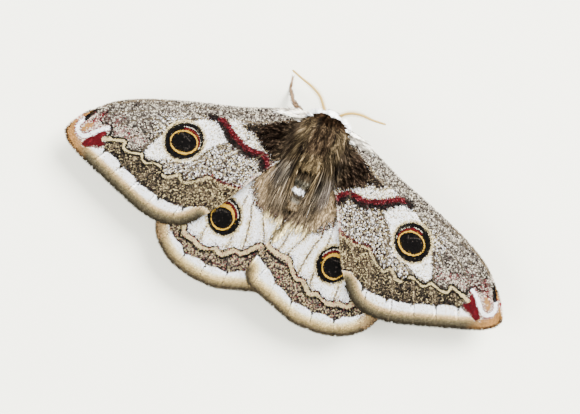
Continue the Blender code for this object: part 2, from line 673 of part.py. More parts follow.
def wing(name, outline_points, veins, height, side, collection, swing=0.0):
    """A wing as a thin curved plate, split into the same triangles on both faces, with its veins raised."""
    outline = smooth_line(outline_points, OUTLINE_STEPS, closed=True)
    closed_outline = outline + outline[:1]
    centres, chains, feet = vein_points(veins, closed_outline)
    points = outline + centres + feet
    low_x, high_x = min(p.x for p in outline), max(p.x for p in outline)
    low_y, high_y = min(p.y for p in outline), max(p.y for p in outline)
    rows = int((high_y - low_y) / INNER_SPACING)
    columns = int((high_x - low_x) / INNER_SPACING)
    for row in range(1, rows + 1):
        for column in range(1, columns + 1):
            shift = 0.5 * (row % 2)
            point = Vector((low_x + (column - shift) * INNER_SPACING, low_y + row * INNER_SPACING * 0.87))
            if not inside(point, outline) or distance_to_line(point, closed_outline) < 0.5 * INNER_SPACING:
                continue
            if min((point - other).length for other in centres + feet) > 0.55 * INNER_SPACING:
                points.append(point)
    edges = [(k, (k + 1) % len(outline)) for k in range(len(outline))]
    edges += [(len(outline) + start, len(outline) + end) for start, end in chains]
    flat, _, faces, _, _, _ = delaunay_2d_cdt(points, edges, [], 1, 1e-4)
    bm = bmesh.new()
    for point in flat:
        edge_share = 1.0 - min(1.0, distance_to_line(point, closed_outline) / MARGIN_ROLL_WIDTH)
        z = height(point.x, point.y) - MARGIN_ROLL * edge_share ** 2
        bm.verts.new((side * point.x, point.y, z - 0.5 * WING_THICKNESS))
    bm.verts.ensure_lookup_table()
    for face in faces:
        bm.faces.new([bm.verts[k] for k in face])
    raised = bmesh.ops.extrude_face_region(bm, geom=bm.faces[:], use_keep_orig=True)
    tops = [item for item in raised["geom"] if isinstance(item, bmesh.types.BMVert)]
    for vert in tops:
        flat_point = Vector((side * vert.co.x, vert.co.y))
        on_vein = any((flat_point - centre).length < 0.01 for centre in centres)
        vert.co.z += WING_THICKNESS + (VEIN_HEIGHT if on_vein else 0.0)
    for vert in bm.verts:
        vert.co.x -= swing * max(0.0, vert.co.y - SWING_ROOT_Y)
    return object_from(bm, name, collection)


def abdomen(collection):
    """The abdomen, a spindle with ring grooves that sags towards its middle."""
    bm = bmesh.new()
    bmesh.ops.create_uvsphere(bm, u_segments=20, v_segments=3 * ABDOMEN_SEGMENTS, radius=1.0)
    for vert in bm.verts:
        share = math.acos(max(-1.0, min(1.0, vert.co.z))) / math.pi
        around = math.atan2(vert.co.y, vert.co.x)
        groove = 1.0 - ABDOMEN_GROOVE * (0.5 + 0.5 * math.cos(2.0 * math.pi * ABDOMEN_SEGMENTS * share)) ** 3
        radius = abdomen_radius(share) * groove
        vert.co = abdomen_middle(share) + Vector((radius * math.cos(around), 0.0, radius * math.sin(around)))
    return object_from(bm, "abdomen", collection)


def leg(name, line, side, collection):
    """A leg along its joints, with the foot's underside flat on the floor."""
    places = [Vector((side * x, y, z)) for x, y, z in line]
    path = []
    for start, end in zip(places, places[1:]):
        for step in range(3):
            path.append(start.lerp(end, step / 3.0))
    path.append(places[-1])
    radii = spread_radii(LEG_RADII, len(path))
    made = tube(name, path, radii, collection)
    for vert in made.data.vertices:
        vert.co.z = max(0.0, vert.co.z)
    return made


def finish(item, collection, material_name):
    """Gives a node its material, moves it over the origin and scales its mesh to metres."""
    item.data.transform(Matrix.Scale(MM, 4) @ Matrix.Translation((0.0, -THORAX_AHEAD, 0.0)))
    item.data.materials.clear()
    item.data.materials.append(material(material_name))
    shade(item)
    for other in list(item.users_collection):
        other.objects.unlink(item)
    collection.objects.link(item)


def main():
    """Builds every node of the moth."""
    clear_scene()
    scene = bpy.context.scene.collection
    moth = bpy.data.collections.new("emperor_moth")
    work = bpy.data.collections.new("cutters")
    scene.children.link(moth)
    scene.children.link(work)

    thorax_cutter = ellipsoid("thorax_cutter", THORAX_CENTRE, THORAX_RADII, work, grow=GAP)
    head_cutter = ellipsoid("head_cutter", HEAD_CENTRE, HEAD_RADII, work, grow=GAP)

    nodes = []
    thorax = ellipsoid("thorax", THORAX_CENTRE, THORAX_RADII, work)
    union(thorax, thorax_locks(work))
    nodes.append((thorax, "brown_coat"))

    head = ellipsoid("head", HEAD_CENTRE, HEAD_RADII, work, segments=20, rings=12)
    union(head, face_locks(work))
    boolean(head, thorax_cutter, "DIFFERENCE")
    nodes.append((head, "grey_coat"))

    body_end = abdomen(work)
    union(body_end, abdomen_locks(work))
    boolean(body_end, thorax_cutter, "DIFFERENCE")
    nodes.append((body_end, "grey_coat"))

    for word, side in SIDES.items():
        eye_centre = HEAD_CENTRE + Vector((side * EYE_OFFSET.x, EYE_OFFSET.y, EYE_OFFSET.z))
        eye = ellipsoid(f"eye_{word}", eye_centre, Vector((EYE_RADIUS,) * 3), work, segments=16, rings=10)
        boolean(eye, head_cutter, "DIFFERENCE")
        boolean(eye, thorax_cutter, "DIFFERENCE")
        nodes.append((eye, "eye_dark"))

        root, tip = (Vector((side * p.x, p.y, p.z)) for p in (PALP_ROOT, PALP_TIP))
        palp_line = [root.lerp(tip, step / 3.0) for step in range(4)]
        palp = tube(f"palp_{word}", palp_line, spread_radii((PALP_RADIUS, PALP_RADIUS, 0.2), 4), work)
        boolean(palp, head_cutter, "DIFFERENCE")
        nodes.append((palp, "grey_coat"))

        path = smooth_line([(side * x, y, z) for x, y, z in ANTENNA_LINES[word]], 4)
        radii = spread_radii((ANTENNA_RADIUS, ANTENNA_RADIUS, ANTENNA_TIP_RADIUS), len(path))
        antenna = tube(f"antenna_{word}", path, radii, work)
        union(antenna, antenna_teeth(path, radii, work))
        boolean(antenna, head_cutter, "DIFFERENCE")
        boolean(antenna, thorax_cutter, "DIFFERENCE")
        nodes.append((antenna, "antenna_straw"))

        forewing = wing(f"forewing_{word}", FOREWING_OUTLINE, FOREWING_VEINS, forewing_height, side, work)
        boolean(forewing, thorax_cutter, "DIFFERENCE")
        nodes.append((forewing, "forewing_scales"))

        def lapped(x, y, word=word):
            return hindwing_height(x, y, word)

        swing = HINDWING_SWING[word]
        hindwing = wing(f"hindwing_{word}", HINDWING_OUTLINE, HINDWING_VEINS, lapped, side, work, swing)
        boolean(hindwing, thorax_cutter, "DIFFERENCE")
        nodes.append((hindwing, "hindwing_scales"))

    for name, line in LEG_LINES.items():
        side = SIDES[name.split("_")[1]]
        limb = leg(name, line, side, work)
        boolean(limb, thorax_cutter, "DIFFERENCE")
        nodes.append((limb, "leg_brown"))

    for item, material_name in nodes:
        finish(item, moth, material_name)
    for item in list(work.objects):
        bpy.data.objects.remove(item, do_unlink=True)


main()
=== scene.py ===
"""Emperor moth, a female at rest with its wings spread, life size: skin, scales, hair and a plain studio.

Plans are in millimetres, as distance from the midline (the moth's left is positive) and distance behind the
thorax's middle. Meshes are placed in metres: the head points to -Y, the left is +X and the floor is z = 0.
"""

import logging
import math
from dataclasses import dataclass
from enum import Enum
from typing import Callable, Optional, Sequence

import bmesh
import bpy
import numpy as np
from mathutils import Matrix, Vector
from mathutils.geometry import delaunay_2d_cdt


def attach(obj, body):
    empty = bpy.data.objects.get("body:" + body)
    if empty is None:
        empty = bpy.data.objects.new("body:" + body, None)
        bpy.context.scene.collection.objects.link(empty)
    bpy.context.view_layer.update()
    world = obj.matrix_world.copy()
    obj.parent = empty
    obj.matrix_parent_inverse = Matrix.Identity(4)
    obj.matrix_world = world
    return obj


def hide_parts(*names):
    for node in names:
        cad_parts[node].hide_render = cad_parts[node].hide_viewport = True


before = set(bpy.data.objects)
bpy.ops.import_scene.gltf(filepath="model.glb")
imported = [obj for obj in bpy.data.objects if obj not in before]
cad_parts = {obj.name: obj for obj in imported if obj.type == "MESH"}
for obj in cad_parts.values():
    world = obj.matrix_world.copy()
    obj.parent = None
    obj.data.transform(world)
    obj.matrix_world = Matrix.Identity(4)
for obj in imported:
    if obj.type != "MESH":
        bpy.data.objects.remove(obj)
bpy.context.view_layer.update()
LOG = logging.getLogger("emperor_moth")

Array = np.ndarray
Object = bpy.types.Object
Material = bpy.types.Material
Plan = Sequence[Sequence[float]]
Tints = Sequence[tuple[Array, float]]
rng = np.random.default_rng

MM = 0.001
THORAX_AHEAD = 7.76
BODY = "root"

# How bright a surface must glow to be seen at each step of the usual 0 to 255 scale
SEEN = (0, 2, 9, 19, 32, 50, 71, 87, 107, 123, 145, 165, 177, 188, 197, 207, 217, 227, 235, 243, 255)
GLOW = (
    0.0, 0.002, 0.005, 0.01, 0.02, 0.04, 0.07, 0.1, 0.15, 0.2, 0.3, 0.45, 0.6, 0.8, 1.0, 1.4, 2.0, 3.0, 4.5,
    7.0, 12.0,
)
# How the glow of each colour spills into the other two, and how the view then parts them again
SPILL = np.array([[0.591, 0.233, 0.176], [0.094, 0.723, 0.183], [0.08, 0.176, 0.744]])
PARTING = np.array([[1.708, -0.379, -0.329], [-0.138, 1.283, -0.145], [-0.131, -0.267, 1.398]])
DISPLAY_GAMMA = 2.2
STUDIO_LIGHT = 4.4


class Worded(Enum):
    """Options whose names end the names of nodes and pieces."""

    @property
    def word(self) -> str:
        """The option's name in small letters."""
        return self.name.lower()


class Side(Worded):
    """The moth's own two sides."""

    LEFT = 1
    RIGHT = -1


class Face(Worded):
    """Upper or under face of a wing."""

    UPPER = 1
    UNDER = -1


# Small helpers on arrays


def colour(red: float, green: float, blue: float) -> Array:
    """Linear colour of a pigment that shows as asked under the studio's light.

    Args:
        red, green, blue: How it should look, on the usual 0 to 255 scales.

    Returns:
        Three linear values, at most those of a clean white.
    """
    shown = (np.array([red, green, blue]) / 255.0) ** DISPLAY_GAMMA
    plain = 255.0 * np.clip(np.linalg.solve(PARTING, shown), 0.0, 1.0) ** (1.0 / DISPLAY_GAMMA)
    glow = np.linalg.solve(SPILL, np.interp(plain, SEEN, GLOW))
    return np.clip(glow / STUDIO_LIGHT, 0.001, 0.9)


def ease(low: float, high: float, value: Array) -> Array:
    """0 below low, 1 above high, and a smooth rise between."""
    share = np.clip((value - low) / (high - low), 0.0, 1.0)
    return share * share * (3.0 - 2.0 * share)


def smooth_line(points: Plan, steps: int, closed: bool = False) -> Array:
    """Reads a Catmull-Rom curve through points.

    Args:
        points: The points that it passes.
        steps: Points read for each span.
        closed: Whether it comes back to its start.

    Returns:
        One row for each point read.
    """
    line = np.asarray(points, float)
    line = np.vstack([line[-1:], line, line[:2]]) if closed else np.vstack([line[:1], line, line[-1:]])
    before, start, end, after = (part[:, None, :] for part in (line[:-3], line[1:-2], line[2:-1], line[3:]))
    s = (np.arange(steps) / steps)[None, :, None]
    curve = 0.5 * (
        2.0 * start + (end - before) * s + (2.0 * before - 5.0 * start + 4.0 * end - after) * s**2
        + (3.0 * start - before - 3.0 * end + after) * s**3
    )
    found = curve.reshape(-1, line.shape[1])
    return found if closed else np.vstack([found, line[-1:]])


def line_distance(x: Array, y: Array, line: Plan) -> Array:
    """Distance of each flat point from a line of points."""
    best = np.full(x.shape, np.inf)
    for (ax, ay), (bx, by) in zip(line[:-1], line[1:]):
        dx, dy = bx - ax, by - ay
        share = np.clip(((x - ax) * dx + (y - ay) * dy) / max(dx * dx + dy * dy, 1e-9), 0.0, 1.0)
        best = np.minimum(best, (x - ax - share * dx) ** 2 + (y - ay - share * dy) ** 2)
    return np.sqrt(best)


def inside(x: Array, y: Array, outline: Plan) -> Array:
    """Whether each flat point lies inside a closed line."""
    crossings = np.zeros(x.shape, int)
    outline = np.asarray(outline, float)
    for (ax, ay), (bx, by) in zip(outline, np.roll(outline, -1, axis=0)):
        if ay != by:
            crossings += ((ay > y) != (by > y)) & (x < ax + (y - ay) / (by - ay) * (bx - ax))
    return crossings % 2 == 1


def rows(*columns: "Array | float") -> Array:
    """Sets columns side by side, with single values repeated."""
    return np.stack(np.broadcast_arrays(*columns), axis=1)


def ranked(field: Array) -> Array:
    """The place of each value in their order, from 0 for the lowest to 1 for the highest."""
    ranks = np.empty(len(field))
    ranks[np.argsort(field)] = np.linspace(0.0, 1.0, len(field))
    return ranks


def walked(line: Array) -> Array:
    """Distance along a line of points, for each of them."""
    return np.concatenate([[0.0], np.cumsum(np.linalg.norm(np.diff(line, axis=0), axis=1))])


def unit(vectors: Array) -> Array:
    """The same directions at length 1."""
    return vectors / np.maximum(np.linalg.norm(vectors, axis=-1, keepdims=True), 1e-9)


def to_row(points: Array) -> Array:
    """Plan points with a height, in millimetres, moved and scaled to their place in metres."""
    return (points - np.array([0.0, THORAX_AHEAD, 0.0])) * MM


class Noise:
    """Soft noise on a seeded lattice."""

    def __init__(self, seed: int) -> None:
        """Draws the lattice from a seed."""
        self.table = rng(seed).random((256, 256))

    def read(self, u: Array, v: Array) -> Array:
        """Values between 0 and 1, one cell of the lattice for each unit of u and v."""
        column, row = np.floor(u).astype(int), np.floor(v).astype(int)
        right, up = u - column, v - row
        right, up = right * right * (3.0 - 2.0 * right), up * up * (3.0 - 2.0 * up)
        near, next_to = column % 256, (column + 1) % 256

        def level(at: Array) -> Array:
            return self.table[near, at] * (1.0 - right) + self.table[next_to, at] * right

        return level(row % 256) * (1.0 - up) + level((row + 1) % 256) * up


# Pigments


class Hue:
    """Colours of the moth's scales and hair."""

    white = colour(252, 253, 245)
    frost = colour(224, 221, 216)
    silver = colour(172, 161, 152)
    slate = colour(108, 97, 90)
    umber = colour(58, 46, 38)
    black = colour(20, 17, 15)
    olive = colour(120, 106, 88)
    sand = colour(180, 165, 142)
    cream = colour(222, 213, 196)
    tan = colour(150, 132, 108)
    peach = colour(208, 174, 132)
    crimson = colour(142, 26, 30)
    wine = colour(92, 30, 34)
    rose = colour(202, 134, 136)
    ochre = colour(226, 204, 154)
    straw = colour(202, 178, 124)
    fawn = colour(134, 114, 88)
    russet = colour(92, 66, 48)
    bark = colour(44, 31, 22)


# Size of a grain of the speckled grounds, in millimetres
GRAIN = 0.19


class Paint:
    """Colours laid in turn over flat points, on single scales or softly mixed."""

    def __init__(self, x: Array, y: Array, ground: Array, seed: int, single: bool = False) -> None:
        """Starts from one ground colour.

        Args:
            x, y: The points, on the plan.
            ground: The colour under every other.
            seed: Seed of each draw.
            single: Whether each point takes one colour whole, as a scale does.
        """
        self.x, self.y, self.single = x, y, single
        self.draw = rng(seed)
        self.noise = Noise(seed + 1)
        self.colour = np.tile(np.asarray(ground, float), (len(x), 1))

    def lay(self, pigment: Array, share: Array, clump: float = 0.0) -> None:
        """Lays a pigment over a share of the points.

        Args:
            pigment: Its linear colour.
            share: How much of each place it covers, from 0 to 1.
            clump: Size of the flecks that it forms, in millimetres, or 0 for even cover.
        """
        share = np.clip(np.broadcast_to(share, self.x.shape), 0.0, 1.0)
        if self.single or clump > 0.0:
            field = self.draw.random(len(self.x))
            if clump > 0.0:
                away = np.hypot(self.x - 1.0, self.y + 2.0)
                turn = np.arctan2(self.y + 2.0, self.x - 1.0)
                flecks = self.noise.read(away / (1.7 * clump), turn * 17.0 / clump)
                field = ranked(flecks + (0.22 * field if self.single else 0.0))
            soft = 0.02 if self.single else 0.25
            share = np.clip((share - field) / soft + 0.5, 0.0, 1.0) * (share > 0.0)
        self.colour = self.colour + (pigment - self.colour) * share[:, None]

    def speckle(self, mask: Array, mix: Tints, slip: float) -> None:
        """Covers a region with grains of several pigments.

        Args:
            mask: How much of each place the region covers, from 0 to 1.
            mix: Pigments from the darkest to the palest, with shares that add up to 1.
            slip: Moves the grains, so that regions don't share them.
        """
        mask = np.clip(np.broadcast_to(mask, self.x.shape), 0.0, 1.0)
        if not self.single:
            mean = sum(pigment * share for pigment, share in mix)
            self.colour = self.colour + (mean - self.colour) * mask[:, None]
            return
        chosen = np.flatnonzero(mask > self.draw.random(len(self.x)))
        if len(chosen) == 0:
            return
        along, across = self.x[chosen] + 0.5 * self.y[chosen], self.y[chosen] - 0.5 * self.x[chosen]
        field = self.noise.read(along / GRAIN + 9.0 * slip, across / GRAIN + 5.0 * slip)
        ranks = ranked(field + 0.75 * self.draw.random(len(chosen)))
        ends = np.cumsum([share for _, share in mix])
        which = np.minimum(np.searchsorted(ends, ranks), len(mix) - 1)
        self.colour[chosen] = np.array([pigment for pigment, _ in mix])[which]

    def ramp(self, mask: Array, away: Array, stops: Tints) -> None:
        """Lays a run of colours by distance from an edge.

        Args:
            mask: How much of each place it covers, from 0 to 1.
            away: Each point's distance, in millimetres.
            stops: Colours with the distances at which they stand, from the nearest.
        """
        wander = away + 0.2 * (self.noise.read(self.x / 0.3, self.y / 0.3) - 0.5)
        shades, places = zip(*stops)
        run = rows(*(np.interp(wander, places, shade) for shade in np.array(shades).T))
        if self.single:
            run = run * np.exp(self.draw.normal(0.0, 0.3, len(self.x)))[:, None]
        self.colour = self.colour + (run - self.colour) * np.clip(mask, 0.0, 1.0)[:, None]

    def near(self, line: Plan, half_width: float, soft: float = 0.05) -> Array:
        """How far each point is on a drawn line, from 0 beside it to 1 on it."""
        return 1.0 - ease(half_width - soft, half_width + soft, line_distance(self.x, self.y, line))

    def trace(self, pigment: Array, share: float, line: Plan, half_width: float, soft: float = 0.05) -> None:
        """Lays a share of a pigment along a drawn line."""
        self.lay(pigment, share * self.near(line, half_width, soft))

    def veins(self, tracks: Sequence[Plan], share: Array, half_width: float, cusps: Plan) -> None:
        """Lays tan veins over the border and a dusky spot at each of its cusps."""
        for track in tracks:
            self.lay(Hue.tan, share * self.near(track, half_width, 0.04))
        for cusp in cusps:
            away = np.hypot(1.6 * (self.x - cusp[0]), self.y - cusp[1])
            self.lay(Hue.umber, 0.8 * ease(0.45, 0.2, away))

    def patch(self, outline: Plan, soft: float = 0.12) -> Array:
        """How far each point is in a closed patch, from 0 outside to 1 inside."""
        closed = np.vstack([np.asarray(outline, float), np.asarray(outline[:1], float)])
        away = line_distance(self.x, self.y, closed)
        return ease(-soft, soft, np.where(inside(self.x, self.y, outline), away, -away))

    def oval(self, centre: Sequence[float], radii: Sequence[float], tilt: float = 0.0) -> Array:
        """Signed distance inwards from an oval's edge, about right near it, in millimetres."""
        turn = math.radians(tilt)
        dx, dy = self.x - centre[0], self.y - centre[1]
        along = dx * math.cos(turn) + dy * math.sin(turn)
        across = dy * math.cos(turn) - dx * math.sin(turn)
        ratio = np.hypot(along / radii[0], across / radii[1])
        return (1.0 - ratio) * np.hypot(along, across) / np.maximum(ratio, 1e-6)

    def vary(self, amount: float) -> None:
        """Makes each point a little lighter or darker."""
        change = 1.0 + amount * (self.draw.random(len(self.x)) - 0.5) * 2.0
        self.colour = np.clip(self.colour * change[:, None], 0.0, 0.95)


# Wings


@dataclass(frozen=True)
class WingShape:
    """Plan and height of one wing."""

    name: str
    side: Side
    outline: Plan
    veins: Sequence[Plan]
    root: Sequence[float]
    margin: tuple[int, int]
    below: float = 0.0
    lap: float = 0.0
    swing: float = 0.0
    thickness: float = 0.1
    vein_rise: float = 0.08
    pleat: float = 0.07

    def row_x(self, x: Array, y: Array) -> Array:
        """Place across the row of plan points, with the wing's side and swing."""
        return self.side.value * x - self.swing * np.maximum(0.0, y - 3.0)

    def own_x(self, row_x: Array, y: Array) -> Array:
        """The wing's own distance from the midline, for places across the row."""
        return (row_x + self.swing * np.maximum(0.0, y - 3.0)) * self.side.value

    def grid(self, pitch: float) -> tuple[Array, Array]:
        """Even plan places over the wing's box, each row half a step beside the last."""
        low, high = self.edge().min(axis=0), self.edge().max(axis=0)
        levels = np.arange(low[1], high[1], pitch * 0.866)
        x, y = np.meshgrid(np.arange(low[0], high[0], pitch), levels)
        return (x + 0.5 * pitch * (np.arange(len(levels)) % 2)[:, None]).ravel(), y.ravel()

    def edge(self) -> Array:
        """The closed outline, smooth, with its first point again at its end."""
        line = smooth_line(self.outline, 4, closed=True)
        return np.vstack([line, line[:1]])

    def outer_edge(self) -> Array:
        """The part of the outline that carries the fringe and the pale border."""
        first, last = self.margin
        return self.edge()[4 * first:4 * last + 1]

    def height(self, x: Array, y: Array) -> Array:
        """Height of the middle of the membrane over the floor, its veins and pleats with it."""
        out = x - 3.5
        z = 9.2 - 0.055 * out - 0.0008 * out * np.abs(out) - 0.03 * y - self.below
        inner = 1.0 - ease(1.5, 7.5, x)
        z = z + self.lap * inner * ease(6.5, 11.0, y)
        rim = line_distance(x, y, self.edge())
        z = z - 0.2 * (1.0 - np.minimum(1.0, rim / 2.2)) ** 2
        nearest = np.full(x.shape, np.inf)
        for vein in self.veins:
            nearest = np.minimum(nearest, line_distance(x, y, smooth_line(vein, 4)))
        ridge = self.vein_rise * np.exp(-((nearest / 0.2) ** 2))
        fold = self.pleat * (1.0 - np.exp(-((nearest / 1.1) ** 2)))
        return z + (ridge - fold) * ease(0.0, 0.9, rim)

    def place(self, x: Array, y: Array, above: Array) -> Array:
        """Places plan points on this wing.

        Args:
            x, y: The points, on the plan.
            above: Height over the middle of the membrane, in millimetres.

        Returns:
            Their places in metres.
        """
        return to_row(rows(self.row_x(x, y), y, self.height(x, y) + above))


FOREWING_OUTLINE: Plan = (
    (2.3, -4.0), (4.6, -4.3), (7.0, -3.5), (13.3, -1.0), (18.2, 0.5), (24.0, 2.5), (28.0, 4.2),
    (31.0, 6.0), (33.4, 8.4), (35.0, 10.6), (35.8, 12.3), (35.2, 13.5), (33.5, 14.6), (30.4, 15.8),
    (25.5, 17.5), (21.5, 18.8), (18.5, 19.35), (16.0, 19.2), (13.8, 18.3), (12.0, 16.5),
    (10.2, 14.0), (8.6, 11.2), (7.2, 8.4), (5.2, 5.0), (3.2, 2.2), (1.4, 0.4),
)
HINDWING_OUTLINE: Plan = (
    (1.2, 1.6), (4.4, 1.2), (8.2, 3.6), (12.6, 8.2), (16.4, 13.6), (18.3, 18.2), (18.2, 20.2),
    (17.2, 21.9), (15.8, 23.2), (14.0, 24.2), (12.0, 24.8), (9.5, 25.1), (7.0, 25.1), (4.9, 24.5),
    (2.8, 23.8), (0.6, 23.1), (-1.0, 22.6), (-2.1, 21.6), (-2.3, 20.5), (-2.0, 19.0), (-1.5, 17.0),
    (-0.8, 14.2), (0.3, 10.6), (1.3, 7.4), (1.5, 5.0), (0.9, 3.6),
)
FOREWING_VEINS: Sequence[Plan] = (
    ((4.4, -3.3), (12.0, -0.5), (20.0, 1.8), (26.6, 4.3)),
    ((4.4, -2.2), (9.5, -0.2), (14.5, 1.5), (20.4, 4.5), (24.3, 8.2), (27.0, 10.5), (30.3, 15.4)),
    ((15.8, 1.7), (22.5, 3.6), (28.5, 6.4), (31.6, 8.3), (34.7, 11.4)),
    ((21.6, 4.8), (26.3, 6.8), (29.6, 9.8), (33.3, 14.3)),
    ((4.6, -0.8), (8.4, 2.4), (12.6, 6.4), (17.2, 9.7), (20.8, 11.8), (22.9, 15.7), (23.7, 17.8)),
    ((20.6, 9.8), (23.9, 11.4), (26.1, 14.7), (27.0, 16.8)),
    ((14.2, 7.9), (17.4, 11.8), (19.6, 16.5), (20.1, 18.9)),
    ((10.6, 5.0), (13.6, 10.4), (15.4, 16.3), (15.8, 18.8)),
    ((4.6, 0.9), (8.0, 5.8), (10.8, 11.0), (12.9, 16.6)),
)
HINDWING_VEINS: Sequence[Plan] = (
    ((5.0, 2.6), (9.0, 6.6), (12.6, 12.6), (15.2, 18.6), (16.7, 22.0)),
    ((6.0, 4.6), (9.2, 10.0), (11.1, 17.3), (11.3, 19.4), (12.6, 22.5), (13.2, 24.0)),
    ((4.6, 4.2), (7.0, 10.0), (6.9, 17.0), (7.4, 19.4), (9.1, 22.6), (9.3, 24.7)),
    ((3.6, 4.6), (5.8, 10.8), (5.3, 13.5), (4.8, 18.3), (5.6, 22.4), (5.8, 24.4)),
    ((2.7, 5.0), (3.7, 11.6), (3.0, 14.0), (2.2, 16.4), (2.2, 23.1)),
    ((2.0, 6.0), (1.4, 10.8), (0.9, 15.6), (-0.8, 22.1)),
)


def between(value: Array, low: float, high: float, soft: float = 0.05) -> Array:
    """1 where the value lies from low to high, with soft ends, and 0 elsewhere."""
    return ease(low - soft, low + soft, value) * ease(high + soft, high - soft, value)


def mixed(**shares: float) -> Tints:
    """Named pigments with their shares, from the darkest to the palest."""
    return tuple((getattr(Hue, name), share) for name, share in shares.items())


class Mix:
    """Grains of pigment that make up each kind of ground, and the runs of colour towards the margins."""

    grey = mixed(black=0.09, umber=0.12, slate=0.33, silver=0.28, frost=0.18)
    salt = mixed(black=0.27, wine=0.07, slate=0.14, fawn=0.06, silver=0.18, cream=0.14, white=0.14)
    lilac = mixed(black=0.33, wine=0.05, slate=0.27, silver=0.22, frost=0.13)
    snow = mixed(cream=0.07, frost=0.07, white=0.86)
    chalk = mixed(slate=0.03, silver=0.07, cream=0.12, frost=0.18, white=0.6)
    shade = mixed(black=0.5, umber=0.17, olive=0.17, sand=0.11, cream=0.05)
    bone = mixed(fawn=0.08, silver=0.15, cream=0.37, white=0.4)
    olive = mixed(black=0.37, umber=0.15, olive=0.23, sand=0.16, cream=0.09)
    earth = mixed(black=0.3, russet=0.22, fawn=0.18, sand=0.16, cream=0.14)
    dusk = mixed(black=0.54, umber=0.2, russet=0.12, fawn=0.08, sand=0.06)
    soot = mixed(black=0.66, umber=0.24, wine=0.07, slate=0.03)
    blood = mixed(black=0.1, wine=0.36, crimson=0.46, rose=0.08)
    blush = mixed(silver=0.25, rose=0.28, frost=0.47)
    flush = mixed(crimson=0.34, rose=0.36, frost=0.3)
    hide = mixed(fawn=0.3, tan=0.4, sand=0.3)
    rust = mixed(black=0.28, russet=0.13, slate=0.17, rose=0.06, silver=0.2, cream=0.16)
    front_margin = (
        (colour(52, 44, 28), 0.0), (colour(76, 64, 45), 0.15), (colour(100, 88, 66), 0.3),
        (colour(128, 114, 89), 0.5), (colour(150, 135, 107), 0.8), (colour(188, 171, 140), 1.1),
        (colour(213, 198, 171), 1.4), (colour(226, 217, 201), 1.8),
    )
    hind_margin = (
        (colour(56, 47, 31), 0.0), (colour(96, 82, 59), 0.15), (colour(143, 125, 97), 0.3),
        (colour(174, 155, 124), 0.5), (colour(201, 183, 152), 0.8), (colour(218, 204, 178), 1.1),
        (colour(226, 217, 199), 1.4), (colour(231, 226, 216), 1.8),
    )


@dataclass(frozen=True)
class Eyespot:
    """The ringed spot of a wing: a black ring with a pale and a red arc, an ochre ring and a dark pupil."""

    centre: Sequence[float]
    radii: Sequence[float]
    tilt: float
    ochre_centre: Sequence[float]
    ochre_radii: Sequence[float]
    pupil_centre: Sequence[float]
    pupil_radii: Sequence[float]
    inner_tilt: float
    glint: Plan
    arc_towards: float = -127.0
    arc_half: float = 60.0
    arc_depths: tuple[float, float, float] = (0.5, 0.57, 0.66)

    def paint(self, paint: Paint) -> None:
        """Lays the rings from the outside in."""
        ring = paint.oval(self.centre, self.radii, self.tilt)
        gap = paint.oval(self.ochre_centre, self.ochre_radii, self.inner_tilt)
        pupil = paint.oval(self.pupil_centre, self.pupil_radii, self.inner_tilt)
        paint.lay(Hue.cream, 0.8 * ease(-0.5, -0.36, ring))
        paint.lay(Hue.fawn, 0.55 * ease(-0.26, -0.16, ring))
        paint.lay(Hue.black, ease(-0.04, 0.04, ring))
        turn = np.degrees(np.arctan2(paint.y - self.centre[1], paint.x - self.centre[0]))
        apart = np.abs((turn - self.arc_towards + 180.0) % 360.0 - 180.0)
        facing = ease(self.arc_half + 8.0, self.arc_half - 6.0, apart)
        inward = ring / np.maximum(ring - gap, 0.05)
        low, high, red = self.arc_depths
        paint.lay(Hue.frost, 0.72 * facing * between(inward, low, high, 0.02))
        paint.lay(Hue.crimson, 0.95 * facing * between(inward, red, 0.95, 0.02))
        paint.lay(Hue.ochre, ease(-0.03, 0.05, gap))
        paint.lay(Hue.umber, ease(-0.07, 0.0, pupil))
        paint.lay(Hue.black, ease(0.0, 0.08, pupil))
        paint.lay(Hue.slate, 0.025 * ease(0.1, 0.2, pupil), 0.2)
        paint.trace(Hue.slate, 0.75, self.glint, 0.07)


